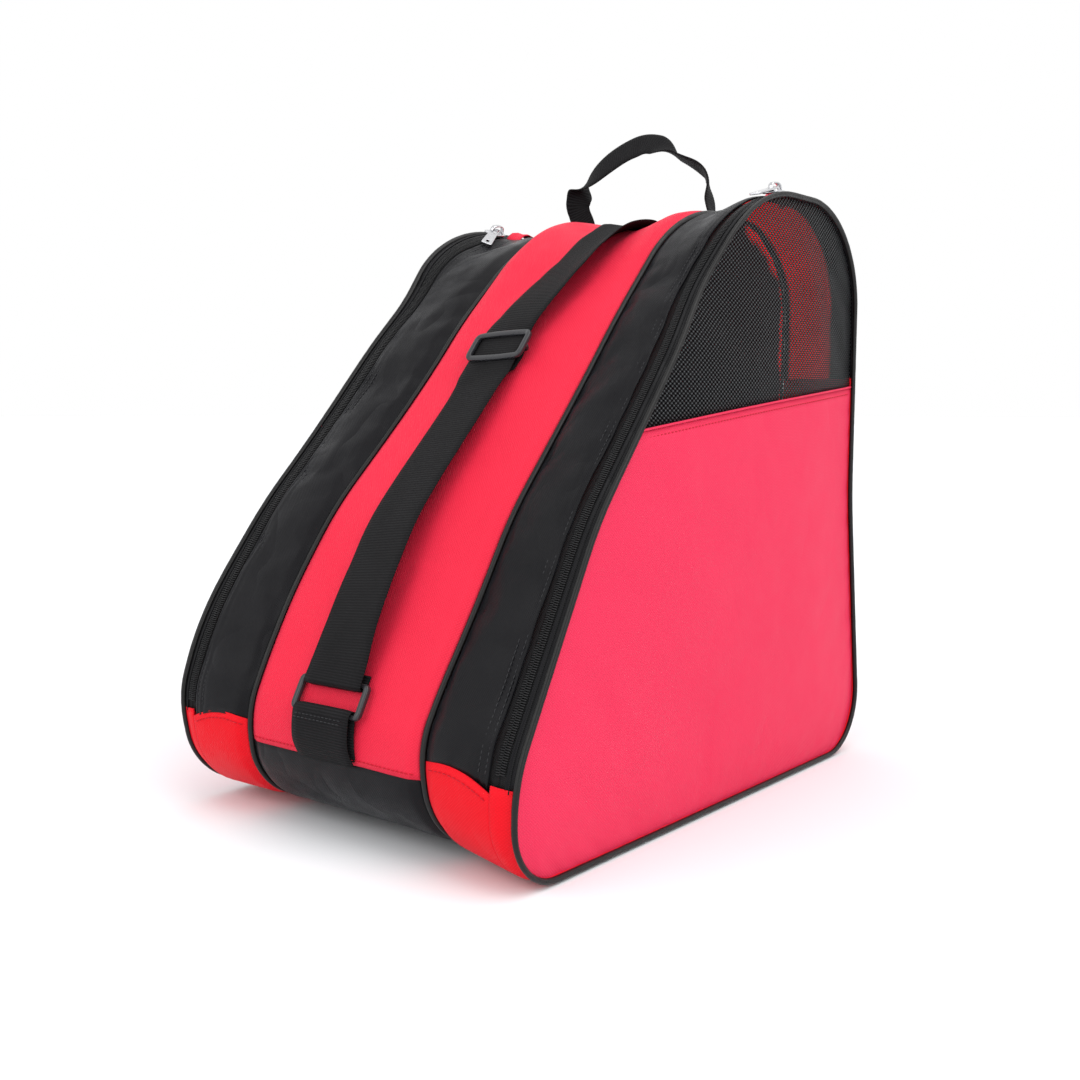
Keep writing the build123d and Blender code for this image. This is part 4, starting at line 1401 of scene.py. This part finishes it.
def ring_piece(name, path, normal, bar, side, anchor):
    """A moulded ring whose two side bars are wider than its cross bars.
    bar and side each hold half a width and half a thickness."""
    def section(i):
        t = smooth((path[i][1] - .88) / .1)
        half_w, half_t = lerp(bar[0], side[0], t), lerp(bar[1], side[1], t)
        return [(half_w * math.copysign(abs(math.cos(a)) ** .65, math.cos(a)),
                 half_t * math.copysign(abs(math.sin(a)) ** .65, math.sin(a)))
                for a in (2 * math.pi * k / 14 for k in range(14))]
    return sweep(name, [p for p, _ in path], [normal] * len(path), section, PLASTIC, closed=True,
                 slack=anchor)


def make_buckles():
    centre = LOOP_AT + NOSE_OUT * BAR_OUT
    path = ring_path(.0256, LOOP_BAR, .0030, lambda x, a: centre + Vector((x, 0, 0)) + NOSE * a)
    loop = ring_piece("strap_loop_moulding", path, NOSE_OUT, (.0014, .0014), (.0019, .0019), centre)
    place(loop, "buckle_plastic", "bag", "strap_loop")

    centre = GLIDE_AT + SLOPE_OUT * .0096
    turn = Matrix.Rotation(-math.radians(GLIDE_ROLL), 3, SLOPE)
    right, out = turn @ Vector((1, 0, 0)), turn @ SLOPE_OUT
    path = ring_path(.0209, .0088, .0034, lambda x, a: centre + right * x + SLOPE * a, bow=.0008)
    ring = ring_piece("tri_glide_ring", path, out, (.0019, .0013), (.0018, .0017), centre)
    bar_line = smooth_line([centre + right * x - out * depth for x, depth in (
        (-.0216, .0006), (-.0208, .0030), (-.0196, .0048), (-.017, .0051), (0, .0051), (.017, .0051),
        (.0196, .0048), (.0208, .0030), (.0216, .0006))], .0012)[0]
    bar = sweep("tri_glide_bar", bar_line, [out] * len(bar_line), round_section(.0012, 10, .8), PLASTIC,
                slack=centre)
    place(ring, "buckle_plastic", "strap_adjuster", "tri_glide")
    place(bar, "buckle_plastic", "strap_adjuster")


def make_handle():
    """The handle: a limp ribbon with a kink above its left foot, turned edge-on above its right one."""
    stations = [(-.0495, .1110, .3600), (-.0520, .1108, .3730), (-.0558, .1100, .3820),
                (-.0565, .1088, .3905), (-.0500, .1078, .4010), (-.0290, .1080, .4150),
                (-.0080, .1095, .4238), (.0090, .1105, .4243), (.0290, .1105, .4135), (.0470, .1105, .4030),
                (.0520, .1105, .3950), (.0540, .1105, .3810), (.0570, .1105, .3640)]
    across = [(-1, .10, 0), (-1, 0, -.03), (-1, -.05, -.10), (-.92, -.20, -.36), (-.60, -.30, -.75),
              (-.10, -.38, -.92), (0, -.45, -.90), (0, -.62, -.78), (.20, -.92, .20), (.35, -.87, .34),
              (.50, -.84, .2), (.16, -.98, .05), (.40, -.90, 0)]
    handle = webbing("handle_webbing_cloth", stations, .0185, "none", across=across)
    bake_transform(handle)
    place(handle, "black_webbing", None, "handle_webbing")


def floor_and_light():
    """A pale floor, soft studio light and the camera."""
    mesh = bpy.data.meshes.new("floor")
    size, steps = 30.0, 60
    marks = [lerp(-size, size, i / steps) for i in range(steps + 1)]
    mesh.from_pydata([(x, y, -.0002) for x in marks for y in marks], [], grid_faces(steps + 1, steps + 1))
    floor = bpy.data.objects.new("floor", mesh)
    scene.collection.objects.link(floor)
    mesh.materials.append(plain_material("floor_paper", (.84, .85, .87), .8, grain=.01, scale=3.0,
                                         Specular_IOR_Level=.1))

    world = bpy.data.worlds.new("studio")
    world.use_nodes = True
    background = world.node_tree.nodes["Background"]
    background.inputs["Color"].default_value = (1, 1, 1, 1)
    background.inputs["Strength"].default_value = 1.0
    scene.world = world

    for name, kind, spot, size, power in (
            ("sky", "SUN", (.5, .1, 1.3), .9, 1.1), ("front", "AREA", (-.6, -2.2, 1.5), 1.6, 16),
            ("side", "AREA", (2.2, -.9, 1.3), 1.5, 13)):
        light = bpy.data.lights.new(name, kind)
        if kind == "SUN":
            light.angle = size
        else:
            light.size = size
        light.energy = power
        lamp = bpy.data.objects.new(name, light)
        lamp.location = spot
        lamp.rotation_euler = (Vector((0, 0, .18)) - Vector(spot)).to_track_quat("-Z", "Y").to_euler()
        scene.collection.objects.link(lamp)

    camera = bpy.data.cameras.new("camera")
    camera.lens = 43.33
    camera.sensor_width = 36
    eye = bpy.data.objects.new("camera", camera)
    eye.location = (.5258, -.6658, .2418)
    eye.rotation_euler = Vector((-.6204, .7777, -.1011)).to_track_quat("-Z", "Y").to_euler()
    scene.collection.objects.link(eye)
    scene.camera = eye
    scene.view_settings.view_transform = "Standard"


floor_and_light()
for side, sign in SIDES:
    make_side_panel(side, sign)
    make_gussets(side, sign)
    make_side_piping(side, sign)
    make_divider(side, sign)
make_centre()
back_panel()
flap_cloth()
back_zip()
make_zip_furniture()
make_strap()
make_buckles()
make_handle()
